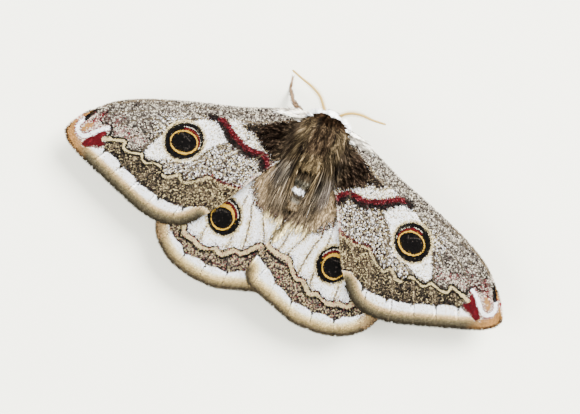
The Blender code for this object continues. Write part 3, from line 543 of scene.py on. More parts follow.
@dataclass(frozen=True)
class ForewingMarkings:
    """Pattern of a forewing, the same on both sides."""

    costa: Plan = FOREWING_OUTLINE[:9]
    hind_edge: Plan = ((5.4, 5.0), (6.3, 6.6), (7.2, 8.4), (7.9, 9.9))
    zigzag: Plan = (
        (7.4, 9.5), (8.7, 10.0), (9.8, 10.05), (10.9, 10.35), (11.6, 10.25), (12.6, 10.0), (13.5, 10.2),
        (14.2, 10.9), (15.5, 12.0), (16.4, 12.3), (17.0, 11.5), (17.4, 11.5), (18.9, 12.6), (19.8, 12.6),
        (20.2, 11.5), (20.9, 11.4), (22.0, 11.74), (22.6, 11.94), (23.1, 11.8), (23.35, 11.2), (23.6, 10.94),
        (24.4, 11.2), (25.5, 11.5), (26.3, 11.4), (26.45, 10.4), (27.0, 10.2), (27.9, 10.5),
        (28.6, 10.75), (29.3, 10.7),
    )
    second: Plan = (
        (19.6, 13.4), (20.3, 12.2), (21.3, 11.97), (22.1, 12.3), (22.7, 12.7), (23.3, 12.3), (23.9, 11.65),
        (24.9, 11.9), (26.1, 12.15), (26.8, 12.1), (27.0, 11.5), (27.3, 11.15), (28.2, 11.3), (29.1, 11.8),
    )
    band: Plan = (
        (7.6, 15.2), (10.4, 15.05), (11.3, 14.9), (12.1, 14.67), (12.5, 14.9), (13.15, 15.27), (13.9, 15.6),
        (14.36, 15.95), (14.75, 16.35), (15.2, 16.2), (15.7, 16.26), (16.5, 16.3), (17.4, 16.26),
        (18.3, 16.26), (18.75, 16.4), (19.1, 16.1), (19.5, 16.0), (20.3, 15.95), (21.0, 15.7),
        (21.8, 15.6), (22.4, 15.5), (22.8, 15.3), (23.6, 14.85), (24.7, 14.5), (25.4, 14.4), (25.9, 14.35),
        (26.2, 14.0), (26.8, 13.55), (27.8, 13.26), (28.6, 13.2), (29.0, 13.15), (29.4, 12.9),
        (30.6, 13.3), (31.4, 13.6), (32.3, 13.9), (33.2, 13.6), (34.6, 12.6), (36.5, 12.0),
    )
    cusps: Plan = ((29.1, 13.2), (25.9, 14.4), (22.4, 15.55), (18.75, 16.45), (14.75, 16.4))
    red_line: Plan = (
        (14.8, 1.75), (14.2, 1.85), (13.2, 2.35), (12.3, 3.0), (11.5, 3.3), (10.4, 3.8), (9.3, 4.1),
        (7.9, 3.95), (7.0, 3.9), (6.2, 4.4), (5.7, 5.3),
    )
    black_line: Plan = (
        (16.4, 2.0), (15.4, 1.9), (14.5, 2.2), (13.6, 2.85), (12.7, 3.7), (11.8, 4.0), (10.4, 4.45),
        (9.3, 4.85), (8.4, 4.6), (7.3, 4.45), (6.5, 5.0), (6.1, 6.0),
    )
    dark_base: Plan = (
        (2.5, -2.6), (3.6, -2.7), (5.0, -2.1), (6.4, -1.4), (7.6, -0.75), (9.3, 0.1), (10.8, 0.6),
        (11.4, 1.1), (11.0, 1.5), (9.6, 1.5), (8.6, 2.0), (7.6, 2.4), (6.4, 3.0), (5.6, 3.8),
        (4.2, 4.0), (1.5, 1.0),
    )
    pale_base: Plan = (
        (13.8, 1.1), (12.6, 0.9), (11.5, 1.4), (9.8, 1.8), (8.6, 2.5), (7.4, 3.0), (6.4, 3.6), (5.6, 4.6),
        (6.2, 4.5), (7.9, 3.8), (9.3, 4.0), (10.4, 3.7), (11.5, 3.2), (12.3, 2.8), (13.3, 2.0),
    )
    field: Plan = (
        (18.8, 3.8), (17.7, 3.0), (16.2, 2.3), (15.3, 2.1), (14.3, 2.7), (13.3, 3.6), (12.8, 4.4),
        (13.4, 5.2), (14.5, 6.1), (15.3, 7.2), (15.7, 8.2), (16.6, 9.4), (17.8, 10.0), (19.3, 10.2),
        (20.6, 10.8),
        (22.6, 11.4), (23.5, 11.1), (23.1, 9.7), (22.5, 8.4), (21.7, 7.0), (21.2, 5.9), (20.4, 4.6),
    )
    field_lines: Sequence[Plan] = (
        ((16.0, 1.9), (17.0, 2.35), (18.3, 3.25), (19.6, 4.0), (20.7, 4.9), (21.3, 6.1), (22.1, 7.2),
         (22.9, 8.2), (23.4, 9.5), (23.9, 11.0)),
        ((12.3, 4.5), (13.3, 5.4), (14.1, 6.1), (15.0, 7.4), (15.6, 9.0), (16.3, 11.2)),
    )
    crimson_patch: Plan = (
        (30.2, 10.3), (30.8, 10.9), (31.4, 11.5), (31.9, 12.0), (32.3, 12.6), (32.75, 13.1), (32.6, 13.7),
        (32.0, 13.8), (31.4, 13.4), (31.0, 13.05), (30.2, 12.9), (29.6, 12.6), (29.5, 12.15), (30.2, 11.8),
        (30.2, 11.3), (29.8, 10.75),
    )
    hook: Plan = (
        (33.85, 10.0), (34.3, 10.9), (34.1, 11.9), (33.2, 12.4), (32.4, 12.0), (31.5, 11.0), (30.5, 10.1),
        (29.9, 9.8),
    )
    jagged: Plan = (
        (29.35, 10.6), (29.35, 10.0), (29.6, 9.3), (30.2, 9.1), (31.1, 9.45), (31.6, 9.1), (31.5, 8.6),
        (31.3, 8.0), (31.0, 7.4), (30.9, 7.0),
    )
    eyespot: Eyespot = Eyespot(
        centre=(18.67, 6.9), radii=(3.0, 2.7), tilt=45.0, ochre_centre=(18.59, 7.09),
        ochre_radii=(2.15, 1.79), pupil_centre=(18.61, 7.05), pupil_radii=(1.94, 1.5), inner_tilt=10.0,
        glint=((19.5, 5.95), (18.6, 6.2), (17.8, 6.6)),
    )

    def paint(self, paint: Paint, edge: Array, veins: Sequence[Plan]) -> None:
        """Lays the whole pattern.

        Args:
            paint: The points to colour.
            edge: The outer margin.
            veins: The wing's veins.
        """
        x, y = paint.x, paint.y
        zig_x, zig_y = np.array(self.zigzag).T
        past = np.where(x > 29.3, -1.0, y - np.interp(x, zig_x, zig_y))
        beyond = np.where(past > 0.0, 1.0, -1.0) * line_distance(x, y, self.zigzag)
        band_x, band_y = np.array(self.band).T
        before = np.interp(x, band_x, band_y) - y
        border = ease(0.08, -0.08, before) * (x > 7.0)
        tracks = [smooth_line(vein, 4) for vein in veins]
        self.paint_ground(paint, tracks)
        self.paint_outer_zone(paint, beyond, before, border, tracks)
        self.paint_border(paint, line_distance(x, y, edge), border, tracks)
        self.paint_base(paint)
        self.paint_apex(paint, line_distance(x, y, edge))
        self.eyespot.paint(paint)

    def paint_ground(self, paint: Paint, tracks: Sequence[Plan]) -> None:
        """Grey ground from the body to the zigzag, with the chalky field round the eyespot."""
        x, y = paint.x, paint.y
        front = line_distance(x, y, self.costa)
        paint.speckle(1.0, Mix.salt, 1.0)
        paint.speckle(ease(21.5, 24.0, x + 0.3 * (y - 8.0)), Mix.lilac, 2.0)
        reach = 2.8 + 1.4 * ease(23.5, 26.5, x)
        paint.speckle(ease(reach, reach - 1.1, front), Mix.grey, 3.0)
        glow = between(x, 24.0, 29.0, 1.2) * between(y, 8.8, 10.4, 0.8)
        paint.speckle(0.55 * glow, Mix.blush, 4.0)
        paint.lay(Hue.sand, 0.6 * between(front, 0.1, 0.34, 0.06) * ease(21.0, 25.0, x))
        paint.lay(Hue.umber, 0.75 * ease(0.2, 0.1, front) * ease(20.0, 24.0, x))
        for track in tracks:
            paint.lay(Hue.tan, 0.5 * paint.near(track, 0.1, 0.05) * ease(8.0, 11.0, x))
        paint.speckle(paint.patch(self.field, 0.22), Mix.chalk, 5.0)
        for line in self.field_lines:
            track = smooth_line(line, 3)
            paint.trace(Hue.fawn, 0.75, track, 0.11)
        streak = smooth_line(self.field_lines[1], 3)
        paint.trace(Hue.tan, 0.4, streak, 0.3, 0.2)
        edge = paint.near(smooth_line(self.hind_edge, 3), 0.35, 0.25)
        paint.speckle(0.8 * edge, Mix.blush, 6.0)

    def paint_outer_zone(
        self, paint: Paint, beyond: Array, before: Array, border: Array, tracks: Sequence[Plan],
    ) -> None:
        """Olive ground between the zigzag and the pale border, with its cream and dark lines."""
        x = paint.x
        zone = (beyond > 0.0) * (1.0 - border)
        paint.speckle(zone, Mix.olive, 7.0)
        paint.speckle(zone * ease(17.0, 12.0, x), Mix.earth, 8.0)
        paint.speckle(0.8 * zone * ease(17.5, 20.5, x), Mix.shade, 27.0)
        for track in tracks:
            paint.lay(Hue.sand, 0.45 * paint.near(track, 0.11, 0.05) * zone)
        cream = between(beyond, 0.14, 0.5, 0.08) * zone
        paint.lay(Hue.cream, cream * (0.45 + 0.45 * ease(14.0, 22.0, x)))
        paint.lay(Hue.umber, 0.6 * between(beyond, 0.62, 0.85, 0.08) * zone * between(x, 12.5, 20.0, 1.0))
        paint.trace(Hue.black, 0.92, self.second, 0.14)
        paint.speckle(0.6 * ease(0.9, 0.1, before) * zone, Mix.soot, 9.0)
        dark = paint.near(self.zigzag, 0.14, 0.05)
        paint.lay(Hue.umber, dark * (0.6 + 0.4 * ease(12.0, 16.0, x)))
        paint.lay(Hue.black, 0.9 * paint.near(self.zigzag, 0.16, 0.05) * ease(18.0, 21.0, x))
        paint.speckle(0.6 * paint.near(self.zigzag, 0.3, 0.12) * ease(15.0, 11.0, x), Mix.blood, 10.0)

    def paint_border(self, paint: Paint, rim: Array, border: Array, tracks: Sequence[Plan]) -> None:
        """White border that turns cream, then tan and dark towards the margin."""
        paint.speckle(border, Mix.snow, 11.0)
        paint.ramp(border * ease(2.1, 1.6, rim), rim, Mix.front_margin)
        paint.veins(tracks, 0.7 * border, 0.08, self.cusps)

    def paint_base(self, paint: Paint) -> None:
        """Dark base, the pale ground behind it, and the red and black line that ends it."""
        paint.speckle(0.95 * paint.patch(self.pale_base, 0.2), Mix.bone, 14.0)
        black = smooth_line(self.black_line, 3)
        paint.speckle(0.4 * paint.near(black, 0.8, 0.3), Mix.soot, 16.0)
        paint.speckle(paint.near(black, 0.5, 0.2), Mix.soot, 15.0)
        red = smooth_line(self.red_line, 3)
        paint.speckle(0.5 * paint.near(red, 0.5, 0.15), Mix.blood, 22.0)
        paint.speckle(paint.near(red, 0.3, 0.1), Mix.blood, 17.0)
        paint.speckle(paint.patch(self.dark_base, 0.3), Mix.dusk, 18.0)
        paint.trace(Hue.sand, 0.75, [(11.0, 0.5), (9.3, -0.1), (7.6, -1.05), (5.0, -2.4)], 0.09)
        paint.trace(Hue.tan, 0.6, [(4.6, 0.7), (5.9, 1.7), (7.3, 4.4), (8.4, 6.1), (9.8, 10.0)], 0.1)
        paint.trace(Hue.umber, 0.6, [(10.8, 1.2), (10.3, 2.0), (9.9, 2.7)], 0.16, 0.1)

    def paint_apex(self, paint: Paint, rim: Array) -> None:
        """Peach tip with its white hook, black dash and crimson patch."""
        x, y = paint.x, paint.y
        tip = ease(30.6, 32.0, x + 0.25 * (y - 9.0)) * (y > 6.5) * (y < 13.4)
        paint.speckle(0.9 * tip, Mix.blush, 19.0)
        paint.speckle(ease(0.75, 0.45, np.hypot(x - 32.2, y - 7.9)), Mix.grey, 20.0)
        front = np.interp(y, [5.5, 8.4, 10.0, 12.3, 13.6], [0.3, 0.35, 0.7, 1.3, 1.5])
        corner = ease(0.12, -0.12, rim - front) * ease(29.5, 34.0, x + 0.4 * (12.0 - y)) * (y > 6.0)
        paint.ramp(corner, rim, ((Hue.peach * 0.9, 0.0), (Hue.peach, 0.3), (Hue.peach * 1.08, 2.0)))
        paint.lay(Hue.umber, corner * 0.85 * ease(0.36, 0.2, rim) * ease(11.0, 12.5, y))
        hook = smooth_line(self.hook, 3)
        paint.speckle(paint.near(hook, 0.52, 0.12), Mix.flush, 23.0)
        paint.trace(Hue.white, 0.96, hook, 0.28, 0.08)
        paint.trace(Hue.peach, 0.9, [(32.5, 10.3), (33.1, 10.9), (33.2, 11.3)], 0.4, 0.12)
        paint.speckle(0.8 * paint.near([(31.4, 9.1), (32.1, 9.5), (33.2, 10.2)], 0.2), Mix.flush, 24.0)
        paint.trace(Hue.black, 0.98, [(32.85, 8.1), (33.25, 9.0), (33.65, 9.8)], 0.34, 0.06)
        paint.trace(Hue.black, 0.92, self.jagged, 0.13, 0.06)
        paint.trace(Hue.black, 0.9, self.jagged[:3], 0.22, 0.08)
        paint.speckle(0.6 * paint.near([(31.2, 7.7), (31.8, 8.7), (32.5, 9.6)], 0.26, 0.12), Mix.blood, 21.0)
        paint.speckle(0.22 * paint.near([(28.6, 7.6), (29.8, 8.8), (31.0, 8.6)], 0.9, 0.5), Mix.blood, 26.0)
        patch = paint.patch(self.crimson_patch, 0.1)
        paint.lay(Hue.crimson, patch)
        paint.lay(Hue.wine, 0.22 * patch)
        pale = paint.patch([(30.3, 11.4), (29.2, 11.0), (28.0, 10.8), (29.0, 11.45), (30.05, 11.8)], 0.08)
        paint.lay(Hue.cream, 0.9 * pale)


@dataclass(frozen=True)
class HindwingMarkings:
    """Pattern of a hindwing, the same on both sides."""

    line: Plan = (
        (14.0, 18.0), (13.6, 19.0), (13.3, 19.35), (12.6, 19.4), (12.1, 19.3), (11.3, 19.8), (10.4, 20.05),
        (9.5, 19.9), (8.8, 19.4), (8.3, 19.4), (7.65, 19.8), (6.9, 19.1), (6.2, 18.45), (5.5, 18.4),
        (4.9, 18.5), (4.2, 17.8), (3.6, 17.1), (3.1, 16.4), (2.4, 16.15), (1.2, 16.2), (0.0, 16.0),
        (-1.5, 15.3),
    )
    second: Plan = (
        (14.6, 19.4), (14.4, 20.2), (13.1, 20.3), (12.2, 20.5), (11.6, 20.9), (10.8, 21.0), (9.9, 20.75),
        (8.8, 20.25), (8.1, 20.6), (7.3, 20.75), (6.3, 20.0), (5.7, 19.3), (4.7, 19.4), (3.8, 18.7),
        (2.9, 17.65), (0.0, 17.2), (-1.5, 16.5),
    )
    band: Plan = (
        (16.8, 19.2), (15.2, 20.6), (14.3, 21.1), (13.6, 21.3), (13.2, 21.9), (12.6, 22.5), (11.8, 22.25),
        (10.3, 22.2), (9.1, 22.65), (8.4, 22.5), (7.3, 22.3), (5.6, 22.4), (5.0, 22.0), (3.9, 21.3),
        (3.0, 21.0), (2.2, 20.9), (1.7, 20.2), (0.9, 19.5), (0.0, 19.1), (-1.5, 18.2),
    )
    cusps: Plan = ((12.6, 22.5), (9.1, 22.65), (5.6, 22.4))
    basal_arc: Plan = (
        (7.0, 8.8), (6.3, 9.8), (5.7, 10.7), (4.8, 11.4), (3.4, 11.8), (1.8, 11.6), (0.3, 11.9),
    )
    base: Plan = (
        (-1.5, 12.2), (0.3, 11.9), (1.8, 11.6), (3.4, 11.8), (4.8, 11.4), (5.7, 10.7), (6.3, 9.8),
        (7.0, 8.8), (7.5, 6.0), (5.0, 2.0), (1.0, 1.0), (-1.0, 6.0),
    )
    eyespot: Eyespot = Eyespot(
        centre=(9.15, 14.75), radii=(2.55, 2.84), tilt=8.0, ochre_centre=(9.32, 14.95),
        ochre_radii=(1.82, 2.02), pupil_centre=(9.35, 15.1), pupil_radii=(1.62, 1.58), inner_tilt=0.0,
        glint=((10.6, 14.3), (9.8, 14.0), (8.9, 14.1)), arc_towards=-105.0, arc_half=62.0,
        arc_depths=(0.4, 0.54, 0.61),
    )

    def paint(self, paint: Paint, edge: Array, veins: Sequence[Plan]) -> None:
        """Lays the whole pattern.

        Args:
            paint: The points to colour.
            edge: The outer margin.
            veins: The wing's veins.
        """
        x, y = paint.x, paint.y
        first_x, first_y = np.array(self.line[::-1]).T
        past = np.where(x > 14.0, y - 18.2 - 0.3 * (x - 14.0), y - np.interp(x, first_x, first_y))
        beyond = np.where(past > 0.0, 1.0, -1.0) * line_distance(x, y, self.line)
        band_x, band_y = np.array(self.band[::-1]).T
        before = np.interp(x, band_x, band_y) - y
        border = np.maximum(ease(0.08, -0.08, before), ease(16.2, 16.8, x) * (y > 16.5))
        tracks = [smooth_line(vein, 4) for vein in veins]
        self.paint_field(paint, beyond, tracks)
        self.paint_dark_zone(paint, beyond, before, border)
        self.paint_border(paint, line_distance(x, y, edge), border, tracks)
        self.paint_base(paint)
        self.eyespot.paint(paint)

    def paint_field(self, paint: Paint, beyond: Array, tracks: Sequence[Plan]) -> None:
        """Pale field with tan veins, dusky along its front edge."""
        x, y = paint.x, paint.y
        paint.speckle(1.0, Mix.snow, 1.0)
        paint.speckle(ease(13.4, 14.2, x), Mix.salt, 2.0)
        for track in tracks:
            paint.lay(Hue.cream, 0.6 * paint.near(track, 0.5, 0.4) * ease(10.0, 12.0, y))
            paint.lay(colour(160, 142, 118), 0.8 * paint.near(track, 0.15, 0.07) * ease(9.0, 11.0, y))
        near_line = ease(-1.3, -0.15, beyond) * (beyond < 0.0)
        paint.lay(Hue.silver, 0.25 * near_line)
        # Painted shadow: a brown streak along the inner margin, where the two hindwings overlap at the
        # midline.
        inner = smooth_line([(1.0, 8.5), (0.2, 10.8), (-0.7, 13.8), (-1.3, 16.2)], 3)
        paint.lay(colour(106, 87, 71), 0.85 * paint.near(inner, 0.6, 0.35), 0.3)

    def paint_dark_zone(self, paint: Paint, beyond: Array, before: Array, border: Array) -> None:
        """Dark mottled band between the wavy lines and the pale border."""
        zone = (beyond > 0.0) * (1.0 - border)
        paint.speckle(zone, Mix.rust, 3.0)
        paint.speckle(0.5 * ease(0.9, 0.1, before) * zone, Mix.soot, 4.0)
        pale = between(beyond, 0.14, 0.76, 0.08) * (beyond > 0.0)
        paint.lay(Hue.cream, 0.95 * pale)
        paint.lay(Hue.rose, 0.18 * pale)
        paint.trace(Hue.black, 0.9, self.second, 0.2, 0.06)
        paint.trace(Hue.black, 0.85, self.line, 0.15)
        paint.speckle(0.12 * paint.near(self.line, 0.3, 0.1), Mix.flush, 25.0)
        paint.trace(Hue.umber, 0.8, [(14.0, 18.2), (14.5, 16.4), (14.7, 14.0)], 0.14, 0.06)

    def paint_border(self, paint: Paint, rim: Array, border: Array, tracks: Sequence[Plan]) -> None:
        """White border that turns cream, then tan and dark towards the margin."""
        paint.speckle(border, Mix.snow, 5.0)
        paint.ramp(border * ease(2.1, 1.6, rim), rim, Mix.hind_margin)
        corner = np.hypot(paint.x - 17.2, paint.y - 20.0)
        paint.lay(colour(206, 182, 156), 0.5 * ease(2.6, 0.6, corner) * border)
        paint.veins(tracks, 0.6 * border, 0.075, self.cusps)

    def paint_base(self, paint: Paint) -> None:
        """Tan base that ends in a dusky arc."""
        base = paint.patch(self.base, 0.5)
        paint.speckle(0.9 * base, Mix.hide, 8.0)
        arc = smooth_line(self.basal_arc, 3)
        paint.trace(colour(120, 98, 86), 0.6, arc, 0.45, 0.35)
        paint.speckle(0.5 * paint.near(arc, 0.3, 0.25), Mix.rust, 9.0)


# Meshes from arrays


def mesh_object(
    name: str, points: Array, faces: Array, colours: Array, uv: Array, material: Material,
) -> Object:
    """Makes one joined mesh of many small closed shapes.

    Args:
        name: The piece's name.
        points: Places in metres, one row each.
        faces: Triangles, as rows of three point numbers.
        colours: One linear colour for each point.
        uv: One pair for each point, for the map OFBake.
        material: Its finish.

    Returns:
        The object, linked to the scene.
    """
    mesh = bpy.data.meshes.new(name)
    mesh.vertices.add(len(points))
    mesh.vertices.foreach_set("co", np.ascontiguousarray(points, dtype=np.float32).ravel())
    mesh.loops.add(faces.size)
    mesh.loops.foreach_set("vertex_index", np.ascontiguousarray(faces, dtype=np.int32).ravel())
    mesh.polygons.add(len(faces))
    mesh.polygons.foreach_set("loop_start", np.arange(0, faces.size, 3, dtype=np.int32))
    mesh.update(calc_edges=True)
    piece = linked(name, mesh, material)
    dress(piece, colours, uv)
    return piece


def adopt(piece: Object, nodes: Sequence[str] = ()) -> Object:
    """Makes a piece ride on the body and stand for its nodes."""
    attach(piece, BODY)
    if nodes:
        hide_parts(*nodes)
    LOG.info("%s: %d triangles", piece.name, sum(len(face.vertices) - 2 for face in piece.data.polygons))
    return piece


Markings = ForewingMarkings | HindwingMarkings

# Faces of a kite between its four corners, its patch on the map, and the map's place on the plan
KITE = np.array([[0, 2, 1], [0, 3, 2], [0, 1, 3], [1, 2, 3]])
KITE_PATCH = np.array([[0.0, 0.0015], [0.0015, 0.003], [0.003, 0.0015], [0.0015, 0.0]])
MAP_START = np.array([-4.0, -6.0])
MAP_SPAN = 42.0


def kite_mesh(
    shape: WingShape, name: str, corners: Array, above: Array, turned: bool, roots: Array, colours: Array,
    material: Material,
) -> Object:
    """Makes one mesh of many small closed kites laid on a wing.

    Args:
        shape: The wing.
        name: The piece's name.
        corners: Four plan places for each kite.
        above: Height of each over the middle of the membrane.
        turned: Whether the faces run the other way round.
        roots: Place of each kite on the map.
        colours: One linear colour for each kite.
        material: Their finish.

    Returns:
        The object.
    """
    flat = corners.reshape(-1, 2)
    points = shape.place(flat[:, 0], flat[:, 1], above.ravel())
    pattern = KITE[:, ::-1] if turned else KITE
    faces = (np.arange(len(corners))[:, None, None] * 4 + pattern).reshape(-1, 3)
    uv = (roots[:, None, :] + KITE_PATCH).reshape(-1, 2)
    return mesh_object(name, points, faces, np.repeat(colours, 4, axis=0), uv, material)


@dataclass
class ScaleCoat:
    """Scales of one face of one wing: small closed kites, each over the next towards the margin."""

    shape: WingShape
    face: Face
    pitch: float
    length: float = 0.27
    width: float = 0.15
    rise: float = 0.035
    seed: int = 1
    cover: Optional[WingShape] = None

    def roots(self) -> tuple[Array, Array]:
        """Plan places of the scales, evenly strewn inside the outline and clear of the thorax."""
        draw = rng(self.seed)
        edge = self.shape.edge()
        x, y = self.shape.grid(self.pitch)
        x = x + draw.normal(0.0, 0.22 * self.pitch, len(x))
        y = y + draw.normal(0.0, 0.22 * self.pitch, len(y))
        kept = inside(x, y, edge[:-1])
        x, y = x[kept], y[kept]
        kept = line_distance(x, y, edge) > 0.12
        kept &= np.hypot(x / 3.3, (y + 0.4) / 4.8) > 1.0
        if self.cover is not None:
            own = self.shape.side.value * self.shape.row_x(x, y)
            rim = self.cover.edge()
            covered = inside(own, y, rim[:-1]) & (line_distance(own, y, rim) > 0.8)
            kept &= ~covered | (draw.random(len(x)) < 0.25)
        return x[kept], y[kept]

    def build(self, markings: Markings, material: Material) -> Object:
        """Builds the coat.

        Args:
            markings: The pattern that the scales carry.
            material: Their finish.

        Returns:
            The piece.
        """
        draw = rng(self.seed + 50)
        x, y = self.roots()
        count = len(x)
        lie = unit(rows(x - self.shape.root[0], y - self.shape.root[1]))
        turn = draw.normal(0.0, 0.2, count)
        lie = rows(lie[:, 0] * np.cos(turn) - lie[:, 1] * np.sin(turn),
                   lie[:, 0] * np.sin(turn) + lie[:, 1] * np.cos(turn))
        across = rows(-lie[:, 1], lie[:, 0])
        long = self.length * draw.uniform(0.8, 1.2, count)[:, None]
        half = 0.5 * self.width * draw.uniform(0.85, 1.15, count)[:, None]
        root = rows(x, y)
        corners = rows(
            root - lie * 0.3 * long,
            root + lie * 0.3 * long + across * half,
            root + lie * 0.7 * long,
            root + lie * 0.3 * long - across * half,
        )
        up = self.face.value
        base = 0.5 * self.shape.thickness
        lift = draw.uniform(0.6, 1.4, count)
        middle = base + self.rise * 0.45 * lift
        above = up * rows(base - 0.01, middle, base + self.rise * lift, middle)
        paint = Paint(x + 0.2 * lie[:, 0] * self.length, y + 0.2 * lie[:, 1] * self.length,
                      Hue.white, self.seed + 90, single=True)
        markings.paint(paint, self.shape.outer_edge(), self.shape.veins)
        paint.vary(0.12)
        colours = paint.colour
        if self.face is Face.UNDER:
            colours = colours + (Hue.silver - colours) * 0.25
        patches = (root - MAP_START) / MAP_SPAN - 0.0015
        return kite_mesh(self.shape, f"scales_{self.shape.name}_{self.face.word}", corners, above,
                         up * self.shape.side.value < 0, patches, colours, material)


@dataclass
class Fringe:
    """Longer narrow scales that stand out from a wing's outer margin."""

    shape: WingShape
    count: int = 3200
    length: float = 0.5
    width: float = 0.09
    seed: int = 3

    def build(self, markings: Markings, material: Material) -> Object:
        """Builds the fringe and colours it as the margin that it grows from."""
        draw = rng(self.seed)
        edge = self.shape.edge()
        far = walked(edge)
        at = np.sort(draw.uniform(0.0, far[-1], self.count))
        place, later = (rows(*(np.interp(near, far, edge[:, k]) for k in (0, 1))) for near in (at, at + 0.05))
        x, y = place.T
        along = unit(later - place + 1e-6)
        out = rows(along[:, 1], -along[:, 0])
        if inside((x + out[:, 0] * 0.2)[:20], (y + out[:, 1] * 0.2)[:20], edge[:-1]).mean() > 0.5:
            out = -out
        on_margin = line_distance(x, y, self.shape.outer_edge()) < 0.01
        long = np.where(on_margin, self.length, 0.22) * draw.uniform(0.6, 1.2, self.count)
        out = unit(out + along * draw.normal(0.0, 0.3, self.count)[:, None])
        start = place - out * 0.3
        across = rows(-out[:, 1], out[:, 0]) * 0.5 * self.width
        reach = (0.3 + long * 0.75)[:, None]
        middle = start + out * reach * 0.5
        corners = rows(start, middle + across, start + out * reach, middle - across)
        level = draw.uniform(-0.04, 0.05, self.count)[:, None]
        above = level + np.array([-0.02, 0.0, 0.03, 0.0])
        paint = Paint(start[:, 0], start[:, 1], Hue.sand, self.seed, single=True)
        markings.paint(paint, self.shape.outer_edge(), self.shape.veins)
        paint.colour *= np.where(on_margin & (y > 12.0), 0.5, 1.0)[:, None]
        paint.vary(0.2)
        return kite_mesh(self.shape, f"fringe_{self.shape.name}", corners, above, self.shape.side.value < 0,
                         (start - MAP_START) / MAP_SPAN, paint.colour, material)


@dataclass
class Membrane:
    """The thin sheet of one wing, with raised veins and shallow pleats between them."""

    shape: WingShape
    spacing: float = 0.42

    def build(self, markings: Markings, material: Material) -> Object:
        """Builds the sheet with a wall round its edge, and lays the pattern on it.

        Args:
            markings: The pattern.
            material: The sheet's finish.

        Returns:
            The piece.
        """
        edge = self.shape.edge()
        x, y = self.shape.grid(self.spacing)
        kept = inside(x, y, edge[:-1]) & (line_distance(x, y, edge) > 0.55 * self.spacing)
        points = [Vector(point) for point in edge[:-1]] + [Vector(p) for p in zip(x[kept], y[kept])]
        rim = [(k, (k + 1) % (len(edge) - 1)) for k in range(len(edge) - 1)]
        flat, _, faces, _, _, _ = delaunay_2d_cdt(points, rim, [], 1, 1e-4)
        plan = np.array([tuple(point) for point in flat])
        places = self.shape.place(plan[:, 0], plan[:, 1], np.full(len(plan), -0.5 * self.shape.thickness))
        bm = bmesh.new()
        verts = [bm.verts.new(place) for place in places]
        for face in faces:
            bm.faces.new([verts[k] for k in face])
        raised = bmesh.ops.extrude_face_region(bm, geom=bm.faces[:], use_keep_orig=True)
        tops = [item for item in raised["geom"] if isinstance(item, bmesh.types.BMVert)]
        bmesh.ops.translate(bm, verts=tops, vec=(0.0, 0.0, self.shape.thickness * MM))
        piece = object_from(bm, f"membrane_{self.shape.name}", material)
        row_x, y, _ = plan_places(piece).T
        x = self.shape.own_x(row_x, y)
        paint = Paint(x, y, Hue.white, 5)
        markings.paint(paint, self.shape.outer_edge(), self.shape.veins)
        dress(piece, paint.colour, (rows(x, y) - MAP_START) / MAP_SPAN)
        return piece


def linked(name: str, mesh: bpy.types.Mesh, material: Material) -> Object:
    """A new object in the scene, shaded smooth, with one finish."""
    mesh.shade_smooth()
    mesh.materials.append(material)
    made = bpy.data.objects.new(name, mesh)
    bpy.context.scene.collection.objects.link(made)
    return made


def plan_places(piece: Object) -> Array:
    """Where a piece's points are, in plan millimetres with their height."""
    places = np.array([vert.co[:] for vert in piece.data.vertices]) / MM
    places[:, 1] += THORAX_AHEAD
    return places


def object_from(bm: bmesh.types.BMesh, name: str, material: Material) -> Object:
    """An object that takes the bmesh, with its faces turned outwards and shaded smooth."""
    bmesh.ops.recalc_face_normals(bm, faces=bm.faces[:])
    if bm.calc_volume(signed=True) < 0.0:
        bmesh.ops.reverse_faces(bm, faces=bm.faces[:])
    mesh = bpy.data.meshes.new(name)
    bm.to_mesh(mesh)
    bm.free()
    return linked(name, mesh, material)


def dress(piece: Object, colours: Array, uv: Array) -> None:
    """Writes a colour and a place on the map OFBake for each of a piece's points."""
    mesh = piece.data
    layer = mesh.attributes.new("Marking", "FLOAT_COLOR", "POINT")
    full = np.ones((len(mesh.vertices), 4), np.float32)
    full[:, :3] = colours
    layer.data.foreach_set("color", full.ravel())
    order = np.empty(len(mesh.loops), np.int32)
    mesh.loops.foreach_get("vertex_index", order)
    baked = mesh.uv_layers.new(name="OFBake")
    baked.uv.foreach_set("vector", np.ascontiguousarray(uv[order], dtype=np.float32).ravel())


# Body


THORAX_CENTRE = np.array([0.0, -0.4, 7.4])
THORAX_RADII = np.array([3.4, 4.9, 3.7])
HEAD_CENTRE = np.array([0.0, -4.8, 5.8])
HEAD_RADII = np.array([1.55, 1.15, 1.55])
ABDOMEN_START = np.array([0.0, 3.0, 6.0])
ABDOMEN_END = np.array([0.0, 17.2, 3.3])


def abdomen_middle(share: Array) -> Array:
    """Centre line of the abdomen, from its front at 0 to its tip at 1."""
    middle = ABDOMEN_START + (ABDOMEN_END - ABDOMEN_START) * share[..., None]
    middle[..., 2] -= 0.65 * np.sin(np.pi * share)
    return middle


def abdomen_radius(share: Array) -> Array:
    """Radius of the abdomen between its grooves."""
    return 3.3 * np.sin(np.pi * np.clip(share, 0.0, 1.0)) ** 0.55 * (1.0 - 0.18 * share)


# Light passed on from strand to strand makes a coat paler than its hair
COAT_DEPTH = 0.62
HairPaint = Callable[[Array, Array, Array], Array]
COAT_TOP = 12.4
STREAKS = Noise(77)


def streaks(x: Array, y: Array, cells: tuple[float, float]) -> Array:
    """Locks drawn out along the hair's flow, from dark at 0 to light at 1: partly hair tone, partly painted
    shade between locks.
    """
    across = (x + 0.2) * 9.5 / (12.5 - np.clip(y, 3.0, 8.5))
    bend = 0.6 * STREAKS.read(x / 1.3 + 40.0, y / 1.3)
    return ease(0.2, 0.8, STREAKS.read((across + bend) / cells[0], y / cells[1]))


